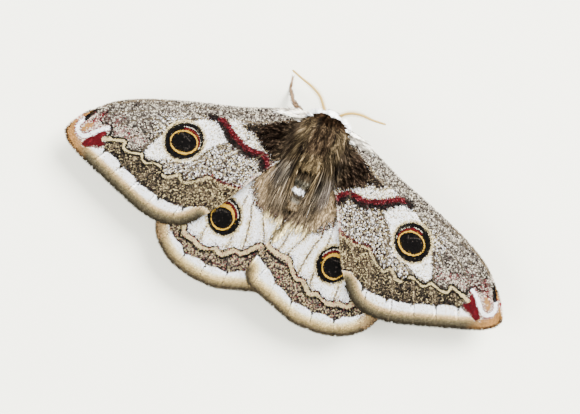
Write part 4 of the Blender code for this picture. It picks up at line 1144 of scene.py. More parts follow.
def body_paint(x: Array, y: Array, z: Array) -> Array:
    """Colours of the coat by place.

    Args:
        x, y: The place, on the plan.
        z: Its height.

    Returns:
        One linear colour for each place.
    """
    paint = Paint(x, y, colour(116, 96, 72), 11)
    side = np.abs(x)
    under = ease(6.6, 5.4, z)
    ruddy = ease(2.0, 1.2, side) * between(y, -3.2, 1.3, 0.7)
    paint.lay(colour(82, 62, 45), 0.9 * ruddy)
    paint.lay(colour(128, 108, 80), 0.9 * between(side, 2.0, 3.5, 0.3) * between(y, -3.9, 0.6, 0.6))
    paint.lay(Hue.umber, 0.7 * ease(3.3, 4.0, side) * ease(3.6, 2.4, y))
    paint.lay(colour(160, 138, 107), 0.9 * ease(2.1, 1.4, side) * between(y, 1.6, 4.6, 0.8))
    paint.lay(colour(112, 102, 90), 0.8 * ease(1.8, 2.4, side) * between(y, 3.6, 7.6, 0.8))
    paint.lay(colour(156, 138, 118), 0.85 * ease(7.2, 8.6, y))
    paint.lay(colour(96, 76, 62), 0.7 * ease(0.7, 0.2, side) * ease(8.6, 9.4, y))
    paint.lay(colour(32, 20, 11), 0.92 * ease(-2.9, -3.9, y + 0.2 * side) * ease(4.4, 3.4, side))
    paint.lay(colour(42, 28, 17), 0.5 * ease(-2.0, -4.0, y))
    blotches = (
        (1.35, -3.7, 0.28, 0.9, 0.0), (-1.9, -3.0, 0.3, 1.1, 0.1), (2.1, 1.3, 0.42, 1.4, -0.35),
        (2.3, 3.7, 0.3, 0.9, 0.0), (-2.9, -0.4, 0.32, 0.9, 0.0), (-4.1, 1.9, 0.4, 1.2, 0.2),
    )
    for cx, cy, rx, ry, lean in blotches:
        spot = np.hypot((x - cx - lean * (y - cy)) / rx, (y - cy) / ry)
        paint.lay(Hue.black, 0.95 * ease(1.2, 0.7, spot))
    # Painted light and shade: a silver sheen on the right flank of the rear coat, which faces the key light,
    # and darker slate on the left flank.
    paint.lay(Hue.silver, 0.5 * ease(1.15, 0.75, np.hypot((x + 4.3) / 1.1, (y - 6.3) / 2.4)))
    paint.lay(Hue.slate, 0.5 * ease(1.15, 0.75, np.hypot((x - 4.4) / 1.2, (y - 6.0) / 1.9)))
    paint.lay(colour(120, 102, 86), 0.75 * under)
    rings = 0.5 + 0.5 * np.cos(2.0 * np.pi * (y - 3.0) / 2.03)
    paint.lay(colour(206, 200, 188), 0.55 * under * rings * ease(5.0, 6.5, y))
    return paint.colour * COAT_DEPTH


def tuft_paint(x: Array, y: Array, z: Array) -> Array:
    """Colours of the tuft behind the thorax, in dark, grey and white bands."""
    paint = Paint(x, y, colour(122, 100, 76), 11)
    across = np.abs(x + 0.2) + 0.7 * (STREAKS.read(x / 0.3, y / 0.3 + 9.0) - 0.5)
    bent = y + 0.1 * across**2 + 0.55 * (STREAKS.read(x / 0.35 + 5.0, y / 0.5) - 0.5)
    for low, high, tint, half in (
        (4.5, 5.2, (96, 80, 62), 1.7), (5.4, 6.3, (164, 156, 142), 1.7), (6.6, 7.25, (246, 246, 238), 1.3),
        (7.35, 7.85, (104, 92, 78), 1.1), (8.0, 8.7, (166, 158, 146), 0.9), (8.8, 9.8, (190, 176, 156), 0.6),
    ):
        middle = ease(half + 0.3, half - 0.3, across)
        paint.lay(colour(*tint), 0.88 * middle * between(bent, low, high, 0.15))
    return paint.colour * (COAT_DEPTH + 0.3 * ease(5.2, 5.8, y))[:, None]


def surface_top(x: Array, y: Array, shapes: Sequence[WingShape]) -> Array:
    """Height of the highest wing or abdomen surface under each place, or 0 beside them."""
    found = np.zeros(x.shape)
    for shape in shapes:
        own = shape.own_x(x, y)
        over = inside(own, y, shape.edge()[:-1])
        found = np.where(over, np.maximum(found, shape.height(own, y) + 0.1), found)
    share = np.clip((y - 3.0) / 14.2, 0.0, 1.0)
    radius = abdomen_radius(share)
    over = (np.abs(x) < radius) & (share > 0.0) & (share < 1.0)
    round_top = abdomen_middle(share)[..., 2] + np.sqrt(np.maximum(radius**2 - x**2, 0.0))
    return np.where(over, np.maximum(found, round_top), found)


def body_map(x: Array, y: Array, z: Array) -> Array:
    """Places on the body's map: round it from below, and along it from the front."""
    return rows(np.arctan2(x, z - 6.5) / (2.0 * np.pi) + 0.5, (y + 9.0) / 28.0) * 0.99


def plain(tint: Array) -> HairPaint:
    """A paint of one colour."""
    return lambda x, y, z: np.tile(tint, (len(x), 1))


@dataclass
class Strands:
    """A tuft of hair: tapered three-sided strands that leave their roots one way and end another."""

    name: str
    root: Array
    start: Array
    end: Array
    length: Array
    width: float
    seed: int
    shade: float = 0.5
    streak: float = 1.1
    cells: tuple[float, float] = (0.26, 1.3)
    wave: float = 0.12
    clear: Sequence[WingShape] = ()
    layer: tuple[float, float] = (0.04, 0.5)
    hug: bool = True
    rings: Sequence[float] = (0.0, 0.45)
    paint: HairPaint = body_paint

    def build(self, material: Material) -> Object:
        """Builds the strands as one piece.

        Args:
            material: Their finish.

        Returns:
            The piece.
        """
        draw = rng(self.seed)
        count = len(self.root)
        stations = np.array([*self.rings, 1.0])
        s = stations[None, :, None]
        long = self.length[:, None, None]
        sway = unit(draw.normal(0.0, 1.0, (count, 3)))[:, None, :] * self.wave
        bent = self.start[:, None, :] * s + 0.5 * (self.end - self.start)[:, None, :] * s**2
        path = self.root[:, None, :] + (bent + sway * s * np.sin(s * 2.4)) * long
        level = draw.uniform(*self.layer, count)[:, None]
        if self.hug:
            local = (path - THORAX_CENTRE) / THORAX_RADII
            far = np.linalg.norm(local, axis=2, keepdims=True)
            wanted = 1.0 + (0.02 + 0.9 * level[..., None] * np.minimum(1.0, s * 3.0)) / 3.7
            path = np.where(far < wanted, THORAX_CENTRE + local / far * wanted * THORAX_RADII, path)
        path[..., 2] = np.minimum(path[..., 2], COAT_TOP)
        if self.clear:
            top = surface_top(path[..., 0], path[..., 1], self.clear)
            raised = np.maximum(path[..., 2], top + level * np.minimum(1.0, stations * 3.0)[None])
            path[..., 2] = np.where((top > 0.0) & (stations > 0.0)[None], raised, path[..., 2])
        ahead = unit(np.gradient(path, axis=1))
        guess = np.array([0.05, 0.0, 1.0])
        side = unit(np.cross(ahead, guess))
        rise = np.cross(side, ahead)
        taper = (0.5 * self.width * np.array([0.75, 1.0, 0.8, 0.55])[: len(self.rings)])[None, :, None]
        taper = taper * draw.uniform(0.75, 1.3, count)[:, None, None]
        ringed = path[:, :-1]
        across, up = side[:, :-1] * taper, rise[:, :-1] * taper * 0.6
        loops = np.stack([ringed - across - up * 0.5, ringed + across - up * 0.5, ringed + up], axis=2)
        points = np.concatenate([loops.reshape(count, -1, 3), path[:, -1:]], axis=1)
        ring_count = len(self.rings)
        faces = [[0, 2, 1]]
        for k in range(ring_count):
            for a, b in ((3 * k, 3 * k + 1), (3 * k + 1, 3 * k + 2), (3 * k + 2, 3 * k)):
                on = [[a, b, b + 3], [a, b + 3, a + 3]]
                faces += on if k < ring_count - 1 else [[a, b, 3 * ring_count]]
        per = 3 * ring_count + 1
        faces = (np.arange(count)[:, None, None] * per + np.array(faces)[None]).reshape(-1, 3)
        flat = path.reshape(-1, 3)
        own = self.paint(flat[:, 0], flat[:, 1], flat[:, 2]).reshape(count, ring_count + 1, 3)
        # Light and dark locks: partly the hair's own tone, partly painted shade between locks.
        locks = streaks(flat[:, 0], flat[:, 1], self.cells).reshape(count, ring_count + 1) - 0.5
        tone = np.exp(draw.normal(0.0, self.shade, count)[:, None] + self.streak * 2.0 * locks)[..., None]
        # Painted shade: each strand is darker towards its root, deep in the coat where shade falls, and
        # lighter towards its tip.
        root_shade = (0.4 + 0.75 * stations)[None, :, None]
        own = np.clip(own * tone * root_shade, 0.0, 0.93)
        colours = np.concatenate([np.repeat(own[:, :-1], 3, axis=1), own[:, -1:]], axis=1).reshape(-1, 3)
        corner = [(j * 0.0015, station * 0.003) for station in self.rings for j in range(3)]
        corner += [(0.0015, 0.003)]
        uv = (body_map(*self.root.T)[:, None, :] + np.array(corner)).reshape(-1, 2)
        return mesh_object(self.name, to_row(points.reshape(-1, 3)), faces, colours, uv, material)


class Coat:
    """Hair of the body, set by set."""

    def __init__(self, shapes: Sequence[WingShape], material: Material) -> None:
        """Keeps the wings that the hair lies over, and its finish."""
        self.shapes = shapes
        self.material = material

    def thorax_set(
        self, name: str, count: int, latitudes: tuple[float, float], arounds: tuple[float, float],
        lie: Callable[[Array, Array], Sequence], lengths: tuple[float, float], seed: int,
        rise: float = 0.5, width: float = 0.12, stray: float = 0.15, **more: object,
    ) -> None:
        """One set of hair rooted on the thorax.

        Args:
            name: The piece's name.
            count: How many strands.
            latitudes: Range in degrees from the front.
            arounds: Range in degrees from the top; each is taken on both sides.
            lie: Gives the direction of each tip from its root's plan place.
            lengths: Range of length.
            seed: Seed of its draws.
            rise: How steeply the hair leaves the skin.
            width: Width of a strand.
            stray: How far strands stray from their direction.
            more: Other fields of Strands.
        """

        draw = rng(seed)
        ahead = draw.uniform(*np.cos(np.radians(latitudes[::-1])), count)
        around = np.radians(draw.uniform(*arounds, count) * draw.choice([-1.0, 1.0], count))
        far = np.sin(np.arccos(ahead))
        ball = rows(far * np.sin(around), -ahead, far * np.cos(around))
        root, normal = THORAX_CENTRE + ball * THORAX_RADII, unit(ball / THORAX_RADII)
        end = unit(unit(rows(*lie(*root.T[:2]))) + draw.normal(0.0, stray, (count, 3)))
        self.add("thorax_coat", name, root - normal * 0.15, unit(end + normal * rise), end,
                 draw.uniform(*lengths, count), width, seed + 1, **more)

    def add(self, slot: str, *own: object, **more: object) -> None:
        """Builds one set from the fields of Strands."""
        adopt(Strands(*own, **more).build(self.material))

    def build(self) -> None:
        """Builds every set, from the collar back."""
        over = dict(clear=self.shapes)
        long_rings = (0.0, 0.3, 0.65)

        def back(x: Array, y: Array) -> Sequence:
            return 0.07 * x, 1.0, 0.0

        def aside(x: Array, y: Array) -> Sequence:
            return np.sign(x) * (0.5 * ease(0.5, -3.8, y) + 0.1), 1.0, -0.12

        def rear(x: Array, y: Array) -> Sequence:
            return -0.75 * x + 0.85 * np.sign(x), 12.5 - y, -1.6

        def outward(x: Array, y: Array) -> Sequence:
            return np.sign(x), -0.45, 0.1

        def fan(x: Array, y: Array) -> Sequence:
            early = ease(-0.5, -3.5, y)
            return 0.75 * x * early, 0.8 - 0.5 * early * ease(0.8, 2.0, np.abs(x)), 0.0

        def ahead(x: Array, y: Array) -> Sequence:
            return 0.5 * x, -1.0, 0.1

        def down(x: Array, y: Array) -> Sequence:
            return 0.15 * x, 1.0, -0.25

        snow = plain(Hue.white)
        self.thorax_set("hair_collar", 2000, (10.0, 22.0), (0.0, 100.0), ahead, (0.5, 1.0), 101, 0.4,
                        paint=snow, shade=0.3, streak=0.6, stray=0.25, rings=(0.0, 0.5))
        self.thorax_set("hair_ruff", 1800, (18.0, 44.0), (80.0, 110.0), outward, (0.9, 1.8), 107, 0.35,
                        paint=snow, shade=0.35, streak=0.9, stray=0.2, **over)
        self.thorax_set("hair_front", 5600, (17.0, 58.0), (0.0, 74.0), fan, (0.9, 1.8), 102, 0.75,
                        stray=0.25, shade=0.6, width=0.11, **over)
        self.thorax_set("hair_dorsum", 7000, (45.0, 128.0), (0.0, 58.0), back, (0.9, 1.7), 103, 0.4,
                        stray=0.28, wave=0.3, cells=(0.24, 0.7), shade=0.6, width=0.11, **over)
        self.thorax_set("hair_shoulders", 4600, (32.0, 108.0), (38.0, 84.0), aside, (2.0, 4.0), 104, 0.3,
                        stray=0.12, shade=0.65, width=0.11, rings=long_rings, **over)
        self.thorax_set("hair_rear", 5600, (98.0, 150.0), (32.0, 88.0), rear, (2.5, 8.4), 105, 0.45,
                        stray=0.07, shade=0.75, width=0.1, cells=(0.2, 1.0), rings=(0.0, 0.25, 0.5, 0.75),
                        layer=(0.03, 0.3), **over)
        self.tuft()
        self.thorax_set("hair_breast", 4200, (24.0, 150.0), (92.0, 180.0), down, (1.1, 2.0), 106, 0.5,
                        width=0.11, rings=(0.0, 0.5))
        self.abdomen_hair()
        self.head_hair()
        self.wing_hair()

    def tuft(self) -> None:
        """Short curved hair in bands on the midline behind the thorax."""
        draw = rng(110)
        count = 3400
        y = draw.uniform(3.6, 9.6, count)
        x = -0.15 + draw.uniform(-1.0, 1.0, count) * (2.0 - 1.3 * ease(4.0, 9.6, y))
        top = surface_top(x, y, self.shapes)
        top = np.maximum(top, THORAX_CENTRE[2] + THORAX_RADII[2] * np.sqrt(np.maximum(
            1.0 - (x / THORAX_RADII[0]) ** 2 - ((y + 0.4) / THORAX_RADII[1]) ** 2, 0.0)))
        end = unit(unit(rows(-0.15 * x, 0.75, 0.2)) + draw.normal(0.0, 0.35, (count, 3)))
        start = unit(end + np.array([0.0, -0.3, 0.8]))
        self.add("thorax_coat", "hair_tuft", rows(x, y, top + 0.1), start, end,
                 draw.uniform(0.35, 0.75, count),
                 0.1, 111, wave=0.3, clear=self.shapes, layer=(1.2, 1.9), shade=0.35, streak=0.6,
                 cells=(0.3, 0.35), paint=tuft_paint)

    def abdomen_hair(self) -> None:
        """Short hair laid back all round the abdomen, with a tuft at its tip."""
        draw = rng(120)
        count = 7600
        share = draw.uniform(0.04, 0.985, count)
        turn = draw.uniform(0.0, 2.0 * np.pi, count)
        radial = rows(np.sin(turn), 0.0, np.cos(turn))
        groove = 1.0 - 0.05 * (0.5 + 0.5 * np.cos(14.0 * np.pi * share)) ** 3
        root = abdomen_middle(share) + radial * (abdomen_radius(share) * groove)[:, None]
        end = unit(np.array([0.0, 1.0, -0.18]) + radial * 0.12 + draw.normal(0.0, 0.13, (count, 3)))
        self.add("abdomen_coat", "hair_abdomen", root - radial * 0.08, unit(end + radial * 0.45), end,
                 draw.uniform(0.9, 1.7, count), 0.1, 121, hug=False, rings=(0.0, 0.5))

    def head_hair(self) -> None:
        """Pale hair of the head, forwards on top and down over the face, and short on the palps."""
        draw = rng(130)
        count = 4800
        ball = unit(draw.normal(0.0, 1.0, (count, 3)))
        ball[:, 1] = -np.abs(ball[:, 1]) + 0.25
        ball = unit(ball)
        kept = ~((np.abs(ball[:, 0]) > 0.72) & (np.abs(ball[:, 2]) < 0.5))
        ball = ball[kept]
        root = HEAD_CENTRE + ball * HEAD_RADII
        end = unit(ball * 0.5 + np.array([0.0, -0.75, -0.25]) + draw.normal(0.0, 0.16, ball.shape))
        start = unit(end + ball * 0.6)
        length = draw.uniform(0.35, 0.6, len(ball)) + 0.3 * ease(0.2, -0.5, ball[:, 2])
        for way in (-1.0, 1.0):
            share, turn = draw.uniform(0.0, 1.0, 320), draw.uniform(0.0, 2.0 * np.pi, 320)
            line = np.array([0.45 * way, -5.5, 4.8]) + np.array([0.15 * way, -0.6, -0.7]) * share[:, None]
            out = rows(np.cos(turn), -0.75 * np.sin(turn), 0.65 * np.sin(turn))
            lie = unit(out * 0.5 + np.array([0.1 * way, -0.75, -0.6]))
            root = np.concatenate([root, line + out * 0.3])
            ball = np.concatenate([ball, out])
            end, start = np.concatenate([end, lie]), np.concatenate([start, unit(lie + out * 0.4)])
            length = np.concatenate([length, draw.uniform(0.3, 0.5, 320)])

        def pale(x: Array, y: Array, z: Array) -> Array:
            low = ease(6.2, 4.8, z)[:, None]
            return Hue.white + (colour(150, 128, 108) - Hue.white) * low

        self.add("head_coat", "hair_head", root - ball * 0.06, start, end, length, 0.06, 131, shade=0.25,
                 streak=0.4, hug=False, paint=pale, rings=(0.0, 0.5))

    def wing_hair(self) -> None:
        """Hair on the wings' bases: dark and white on the forewings, tan on the hindwings."""
        for shape in self.shapes:
            if shape.name.startswith("forewing"):
                self.forewing_hair(shape)
                self.edge_hair(shape)
            else:
                self.hindwing_hair(shape)

    def strewn(self, shape: WingShape, low: Sequence[float], high: Sequence[float], seed: int) -> Array:
        """Places strewn over a part of a wing, clear of its edge and of the thorax."""
        draw = rng(seed)
        x, y = draw.uniform(low[0], high[0], 24000), draw.uniform(low[1], high[1], 24000)
        kept = inside(x, y, shape.edge()[:-1]) & (line_distance(x, y, shape.edge()) > 0.12)
        kept &= np.hypot(x / 3.3, (y + 0.4) / 4.8) > 1.0
        return rows(x[kept], y[kept])

    def lay_on(
        self, shape: WingShape, name: str, place: Array, lie: Array, lengths: tuple[float, float],
        seed: int, paint: HairPaint, **more: object,
    ) -> None:
        """Lays a set of hair on a wing, along the given directions on its plan."""
        draw = rng(seed)
        x, y = place.T
        root = rows(shape.row_x(x, y), y, shape.height(x, y) + 0.04)
        lie = unit(rows(lie[:, 0] * shape.side.value, lie[:, 1], -0.05))
        end = unit(lie + draw.normal(0.0, 0.16, lie.shape))
        self.add(shape.name.split("_")[0], name, root, unit(end + np.array([0.0, 0.0, 0.4])), end,
                 draw.uniform(*lengths, len(x)), 0.1, seed + 1, hug=False, clear=self.shapes,
                 layer=(0.03, 0.3), paint=paint, **more)

    def forewing_hair(self, shape: WingShape) -> None:
        """Dark hair over the base of a forewing."""
        place = self.strewn(shape, (2.2, -3.4), (9.5, 3.6), 140 + shape.side.value)
        draw = rng(141 + shape.side.value)
        base = Paint(*place.T, Hue.bark, 5)
        chance = 0.8 * base.patch(FOREWING_PATTERN.dark_base, 0.3) * ease(9.5, 6.0, place[:, 0])
        place = place[draw.random(len(place)) < chance][:1500]
        lie = rows(1.0, 0.35 + 0.22 * (place[:, 1] + 1.0))

        def dusk(x: Array, y: Array, z: Array) -> Array:
            out = ease(4.0, 6.5, np.abs(x))[:, None]
            return (colour(78, 62, 46) + (colour(46, 35, 27) - colour(78, 62, 46)) * out) * COAT_DEPTH

        self.lay_on(shape, f"hair_{shape.name}", place, lie, (0.6, 1.2), 150, dusk, shade=0.8, streak=1.3,
                    cells=(0.5, 0.25))

    def edge_hair(self, shape: WingShape) -> None:
        """White hair along the front edge of a forewing's base."""
        place = self.strewn(shape, (2.4, -4.4), (8.2, -1.2), 160 + shape.side.value)
        draw = rng(161 + shape.side.value)
        front = line_distance(place[:, 0], place[:, 1], FOREWING_PATTERN.costa)
        chance = ease(1.5, 0.5, front + 0.12 * (place[:, 0] - 3.0)) * ease(8.0, 5.0, place[:, 0])
        place = place[draw.random(len(place)) < chance][:1500]
        lie = np.tile([1.0, 0.22], (len(place), 1))
        self.lay_on(shape, f"hair_edge_{shape.side.word}", place, lie, (0.7, 1.3), 170,
                    plain(colour(210, 206, 200)), shade=0.4, rings=(0.0, 0.5), cells=(0.5, 0.25))

    def hindwing_hair(self, shape: WingShape) -> None:
        """Tan hair over the base of a hindwing, where the forewing doesn't cover it."""
        place = self.strewn(shape, (-1.5, 2.5), (8.0, 14.6), 180 + shape.side.value)
        draw = rng(181 + shape.side.value)
        x, y = place.T
        row_x = shape.row_x(x, y)
        forewing = next(each for each in self.shapes if each.name == f"forewing_{shape.side.word}")
        hidden = inside(row_x * shape.side.value, y, forewing.edge()[:-1])
        chance = 0.85 * ease(13.4, 9.2, y + 0.1 * np.abs(x - 3.0) ** 2)
        chance *= ease(6.8, 5.8, x + 0.6 * np.maximum(0.0, y - 7.5))
        # The line where the two hindwings overlap at the midline.
        fold = [(-0.8, 9.8), (0.0, 12.5), (0.9, 15.4)]
        chance = np.maximum(chance, 0.6 * ease(0.8, 0.3, line_distance(row_x, y, fold)))
        middle = (np.abs(row_x) < 1.5 - 0.2 * (y - 4.0)) & (y < 9.5)
        kept = ~hidden & ~middle & (draw.random(len(x)) < chance)
        place = place[kept][:3400]
        lie = rows(-0.12 + 0.07 * (place[:, 0] - 2.0), 1.0)

        def tan(px: Array, py: Array, pz: Array) -> Array:
            paint = Paint(px, py, colour(178, 158, 134), 9)
            inner = ease(4.6, 3.2, np.abs(px))[:, None]
            paint.colour = paint.colour + (body_paint(px, py, pz) - paint.colour) * inner * 0.8
            dusky = line_distance(shape.own_x(px, py), py, smooth_line(HINDWING_PATTERN.basal_arc, 3))
            paint.lay(colour(104, 82, 72), 0.75 * ease(0.8, 0.2, dusky))
            ragged = py + 1.6 * (STREAKS.read(px / 0.3 + 60.0, py / 2.0) - 0.5)
            paint.lay(Hue.cream, 0.85 * ease(11.2, 13.0, ragged))
            # Darker hair along the overlap: partly the hair's own colour, partly painted shadow.
            paint.lay(colour(92, 74, 60), 0.85 * ease(0.5, 0.2, line_distance(px, py, fold)))
            return paint.colour * 0.92

        self.lay_on(shape, f"hair_{shape.name}", place, lie, (0.7, 1.5), 190, tan, shade=0.45, streak=0.7,
                    cells=(0.25, 0.8))


@dataclass
class BodySkin:
    """The one skin of head, thorax and abdomen, under the hair."""

    voxel: float = 0.32

    def ellipsoid(self, centre: Array, radii: Array) -> bmesh.types.BMesh:
        """A closed round form, in metres."""
        bm = bmesh.new()
        bmesh.ops.create_icosphere(bm, subdivisions=4, radius=1.0)
        place = to_row(np.asarray(centre)[None])[0]
        bm.transform(Matrix.Translation(Vector(place)) @ Matrix.Diagonal((*(np.asarray(radii) * MM), 1.0)))
        return bm

    def abdomen(self) -> bmesh.types.BMesh:
        """The abdomen, a spindle with ring grooves, in metres."""
        bm = bmesh.new()
        bmesh.ops.create_uvsphere(bm, u_segments=40, v_segments=64, radius=1.0)
        for vert in bm.verts:
            share = np.array(math.acos(max(-1.0, min(1.0, vert.co.z))) / math.pi)
            around = math.atan2(vert.co.y, vert.co.x)
            groove = 1.0 - 0.07 * (0.5 + 0.5 * math.cos(14.0 * math.pi * share)) ** 3
            radius = float(abdomen_radius(share)) * groove * 0.97
            middle = abdomen_middle(share)
            point = middle + np.array([radius * math.cos(around), 0.0, radius * math.sin(around)])
            vert.co = Vector(to_row(point[None])[0])
        return bm

    def build(self, material: Material) -> Object:
        """Joins the three forms by a voxel remesh, smooths the joins and colours the skin."""
        whole = bmesh.new()
        for part in (
            self.ellipsoid(THORAX_CENTRE, THORAX_RADII * 0.97), self.ellipsoid(HEAD_CENTRE, HEAD_RADII),
            self.ellipsoid((0.0, -4.1, 6.6), (1.7, 1.1, 1.8)),
            self.ellipsoid((0.0, 3.9, 6.4), (2.6, 1.6, 2.3)), self.abdomen(),
        ):
            mesh = bpy.data.meshes.new("part")
            part.to_mesh(mesh)
            part.free()
            whole.from_mesh(mesh)
            bpy.data.meshes.remove(mesh)
        piece = object_from(whole, "body_skin", material)
        remesh = piece.modifiers.new("skin", "REMESH")
        remesh.mode = "VOXEL"
        remesh.voxel_size = self.voxel * MM
        smooth = piece.modifiers.new("smooth", "SMOOTH")
        smooth.iterations = 3
        graph = bpy.context.evaluated_depsgraph_get()
        mesh = bpy.data.meshes.new_from_object(piece.evaluated_get(graph))
        piece.modifiers.clear()
        piece.data = mesh
        mesh.shade_smooth()
        x, y, z = plan_places(piece).T
        paint = Paint(x, y, Hue.umber, 12)
        paint.colour = body_paint(x, y, z) * 0.6
        paint.lay(Hue.silver, ease(-4.9, -5.3, y) * ease(4.2, 5.0, z))
        dress(piece, paint.colour, body_map(x, y, z))
        return adopt(piece, ("thorax", "head", "abdomen"))


# Round parts


def tube(name: str, path: Array, radii: Array, sides: int, material: Material) -> Object:
    """A closed round part along a line.

    Args:
        name: The piece's name.
        path: Its centre line, in plan millimetres with height.
        radii: A radius at each point.
        sides: Corners round it.
        material: Its finish.

    Returns:
        The object.
    """
    bm = bmesh.new()
    bmesh.ops.create_cone(bm, cap_ends=True, segments=sides, radius1=1.0, radius2=1.0, depth=1.0)
    long_edges = [edge for edge in bm.edges if abs(edge.verts[0].co.z - edge.verts[1].co.z) > 0.5]
    bmesh.ops.subdivide_edges(bm, edges=long_edges, cuts=len(path) - 2, use_grid_fill=True)
    ahead = unit(np.gradient(path, axis=0))
    side = unit(np.cross(ahead, np.array([0.03, 0.02, 1.0])))
    up = np.cross(side, ahead)
    last = len(path) - 1
    for vert in bm.verts:
        index = int(round((vert.co.z + 0.5) * last))
        point = path[index] + (side[index] * vert.co.x + up[index] * vert.co.y) * radii[index]
        vert.co = Vector(to_row(point[None])[0])
    return object_from(bm, name, material)


def join(name: str, pieces: Sequence[Object]) -> Object:
    """Joins objects that share a material into one and removes the rest."""
    bm = bmesh.new()
    for piece in pieces:
        bm.from_mesh(piece.data)
    material = pieces[0].data.materials[0]
    for piece in pieces:
        bpy.data.objects.remove(piece, do_unlink=True)
    return object_from(bm, name, material)


@dataclass
class Antenna:
    """One feeler: a ringed shaft with a short comb."""

    side: Side
    line: Plan
    radius: float = 0.2
    tip_radius: float = 0.13
    joints: int = 36
    tooth_length: float = 0.46

    def build(self, material: Material) -> Object:
        """Builds the shaft with its joints, then the teeth on both sides."""
        side = self.side.value
        path = smooth_line([(side * x, y, z) for x, y, z in self.line], 8)
        far = walked(path)
        share = np.linspace(0.0, 1.0, self.joints * 4 + 1)
        path = rows(*(np.interp(share * far[-1], far, path[:, k]) for k in range(3)))
        ringed = 1.0 + 0.08 * np.cos(2.0 * np.pi * share * self.joints)
        radii = (self.radius + (self.tip_radius - self.radius) * share**1.5) * ringed
        radii = np.where(share < 0.05, radii * 1.35, radii)
        pieces = [tube(f"antenna_{self.side.word}_shaft", path, radii, 10, material)]
        for index in range(3, self.joints - 1):
            at = index * 4 + 2
            base, forward = path[at], unit(path[at + 1] - path[at - 1])
            across = unit(np.cross(forward, np.array([0.0, 0.0, 1.0])))
            long = self.tooth_length * (0.4 + 0.6 * math.sin(math.pi * min(1.0, 1.2 * share[at] + 0.1)))
            for way in (-1.0, 1.0):
                lean = unit(across * way + forward * 0.4 - np.array([0.0, 0.0, 0.1]))
                line = np.stack([base + lean * k * (radii[at] * 0.5 + long) for k in (0.0, 0.5, 1.0)])
                pieces.append(tube("tooth", line, np.array([0.075, 0.06, 0.025]), 5, material))
        piece = join(f"antenna_comb_{self.side.word}", pieces)
        places = plan_places(piece)
        apart = np.linalg.norm(places[:, None, :] - path, axis=2)
        at, away = share[apart.argmin(axis=1)], apart.min(axis=1)
        paint = Paint(*places.T[:2], Hue.straw, 31)
        groove = 0.5 - 0.5 * np.cos(2.0 * np.pi * at * self.joints)
        paint.lay(colour(112, 86, 52), 0.85 * groove**2 * (at > 0.04))
        paint.lay(Hue.fawn, 0.3 * ease(0.25, 0.5, away))
        dress(piece, paint.colour, rows(at * 0.9, 0.5 + 0.2 * away))
        return adopt(piece, (f"antenna_{self.side.word}",))


@dataclass
class Leg:
    """One leg: hip, thigh, shin and a foot of five joints with two claws."""

    name: str
    joints: Plan

    def build(self, skin: Material, claw: Material, hair: Material) -> None:
        """Builds the limb, its claws and its hair."""
        side = 1.0 if self.name.endswith("left") else -1.0
        corners = np.array([(side * x, y, z) for x, y, z in self.joints])
        shares = np.linspace(0.0, 1.0, 14)
        parts, profile = [], []
        spans = ((0.5, 0.36), (0.33, 0.22), (0.22, 0.16), (0.16, 0.13))
        for index, (first, last) in enumerate(spans):
            start, end = corners[index], corners[index + 1]
            part = start + (end - start) * shares[:, None]
            swell = 1.0 + (0.18 if index < 3 else 0.0) * np.sin(np.pi * shares)
            radius = (first + (last - first) * shares) * swell
            if index == 3:
                radius = radius * (1.0 + 0.14 * np.cos(2.0 * np.pi * 4.0 * shares))
            parts.append(part if index == 0 else part[1:])
            profile.append(radius if index == 0 else radius[1:])
        path, radii = np.vstack(parts), np.concatenate(profile)
        path[:, 2] = np.maximum(path[:, 2], radii * 0.96)
        path[-14:, 2] = np.maximum(path[-14:, 2], 0.16)
        limb = tube(f"limb_{self.name}", path, radii, 12, skin)
        adopt(limb, (self.name,))
        toe, forward = path[-1], unit(path[-1] - path[-3])
        across = unit(np.cross(forward, np.array([0.0, 0.0, 1.0])))
        claws = []
        for way in (-1.0, 1.0):
            k = np.linspace(0.0, 1.0, 6)[:, None]
            line = toe + forward * (0.32 * k - 0.04) + across * way * (0.05 + 0.16 * np.sin(k * 1.8))
            line = line + np.array([0.0, 0.0, 1.0]) * (0.03 * np.sin(k * np.pi) - 0.08 * k**2)
            claws.append(tube("claw", line, np.linspace(0.05, 0.012, 6), 6, claw))
        adopt(join(f"claws_{self.name}", claws))
        draw = rng(int(abs(corners[1, 1]) * 100) + int(side) + 5)
        count = 520
        at = draw.integers(1, len(path) - 8, count)
        turn = draw.uniform(0.0, 2.0 * np.pi, count)
        ahead = unit(np.gradient(path, axis=0))[at]
        flank = unit(np.cross(ahead, np.array([0.03, 0.02, 1.0])))
        radial = flank * np.cos(turn)[:, None] + np.cross(flank, ahead) * np.sin(turn)[:, None]
        root = path[at] + radial * radii[at][:, None] * 0.95
        end = unit(ahead + radial * 0.35 + draw.normal(0.0, 0.15, (count, 3)))
        length = draw.uniform(0.3, 0.75, count) * (0.5 + radii[at])
        length = np.where(path[at][:, 2] < 0.9, length * 0.5, length)
        coat = Strands(f"hair_{self.name}", root, unit(end + radial * 0.5), end, length, 0.06, 160,
                       shade=0.3, streak=0.3, hug=False, paint=plain(colour(166, 138, 112)), rings=(0.0, 0.5))
        adopt(coat.build(hair))


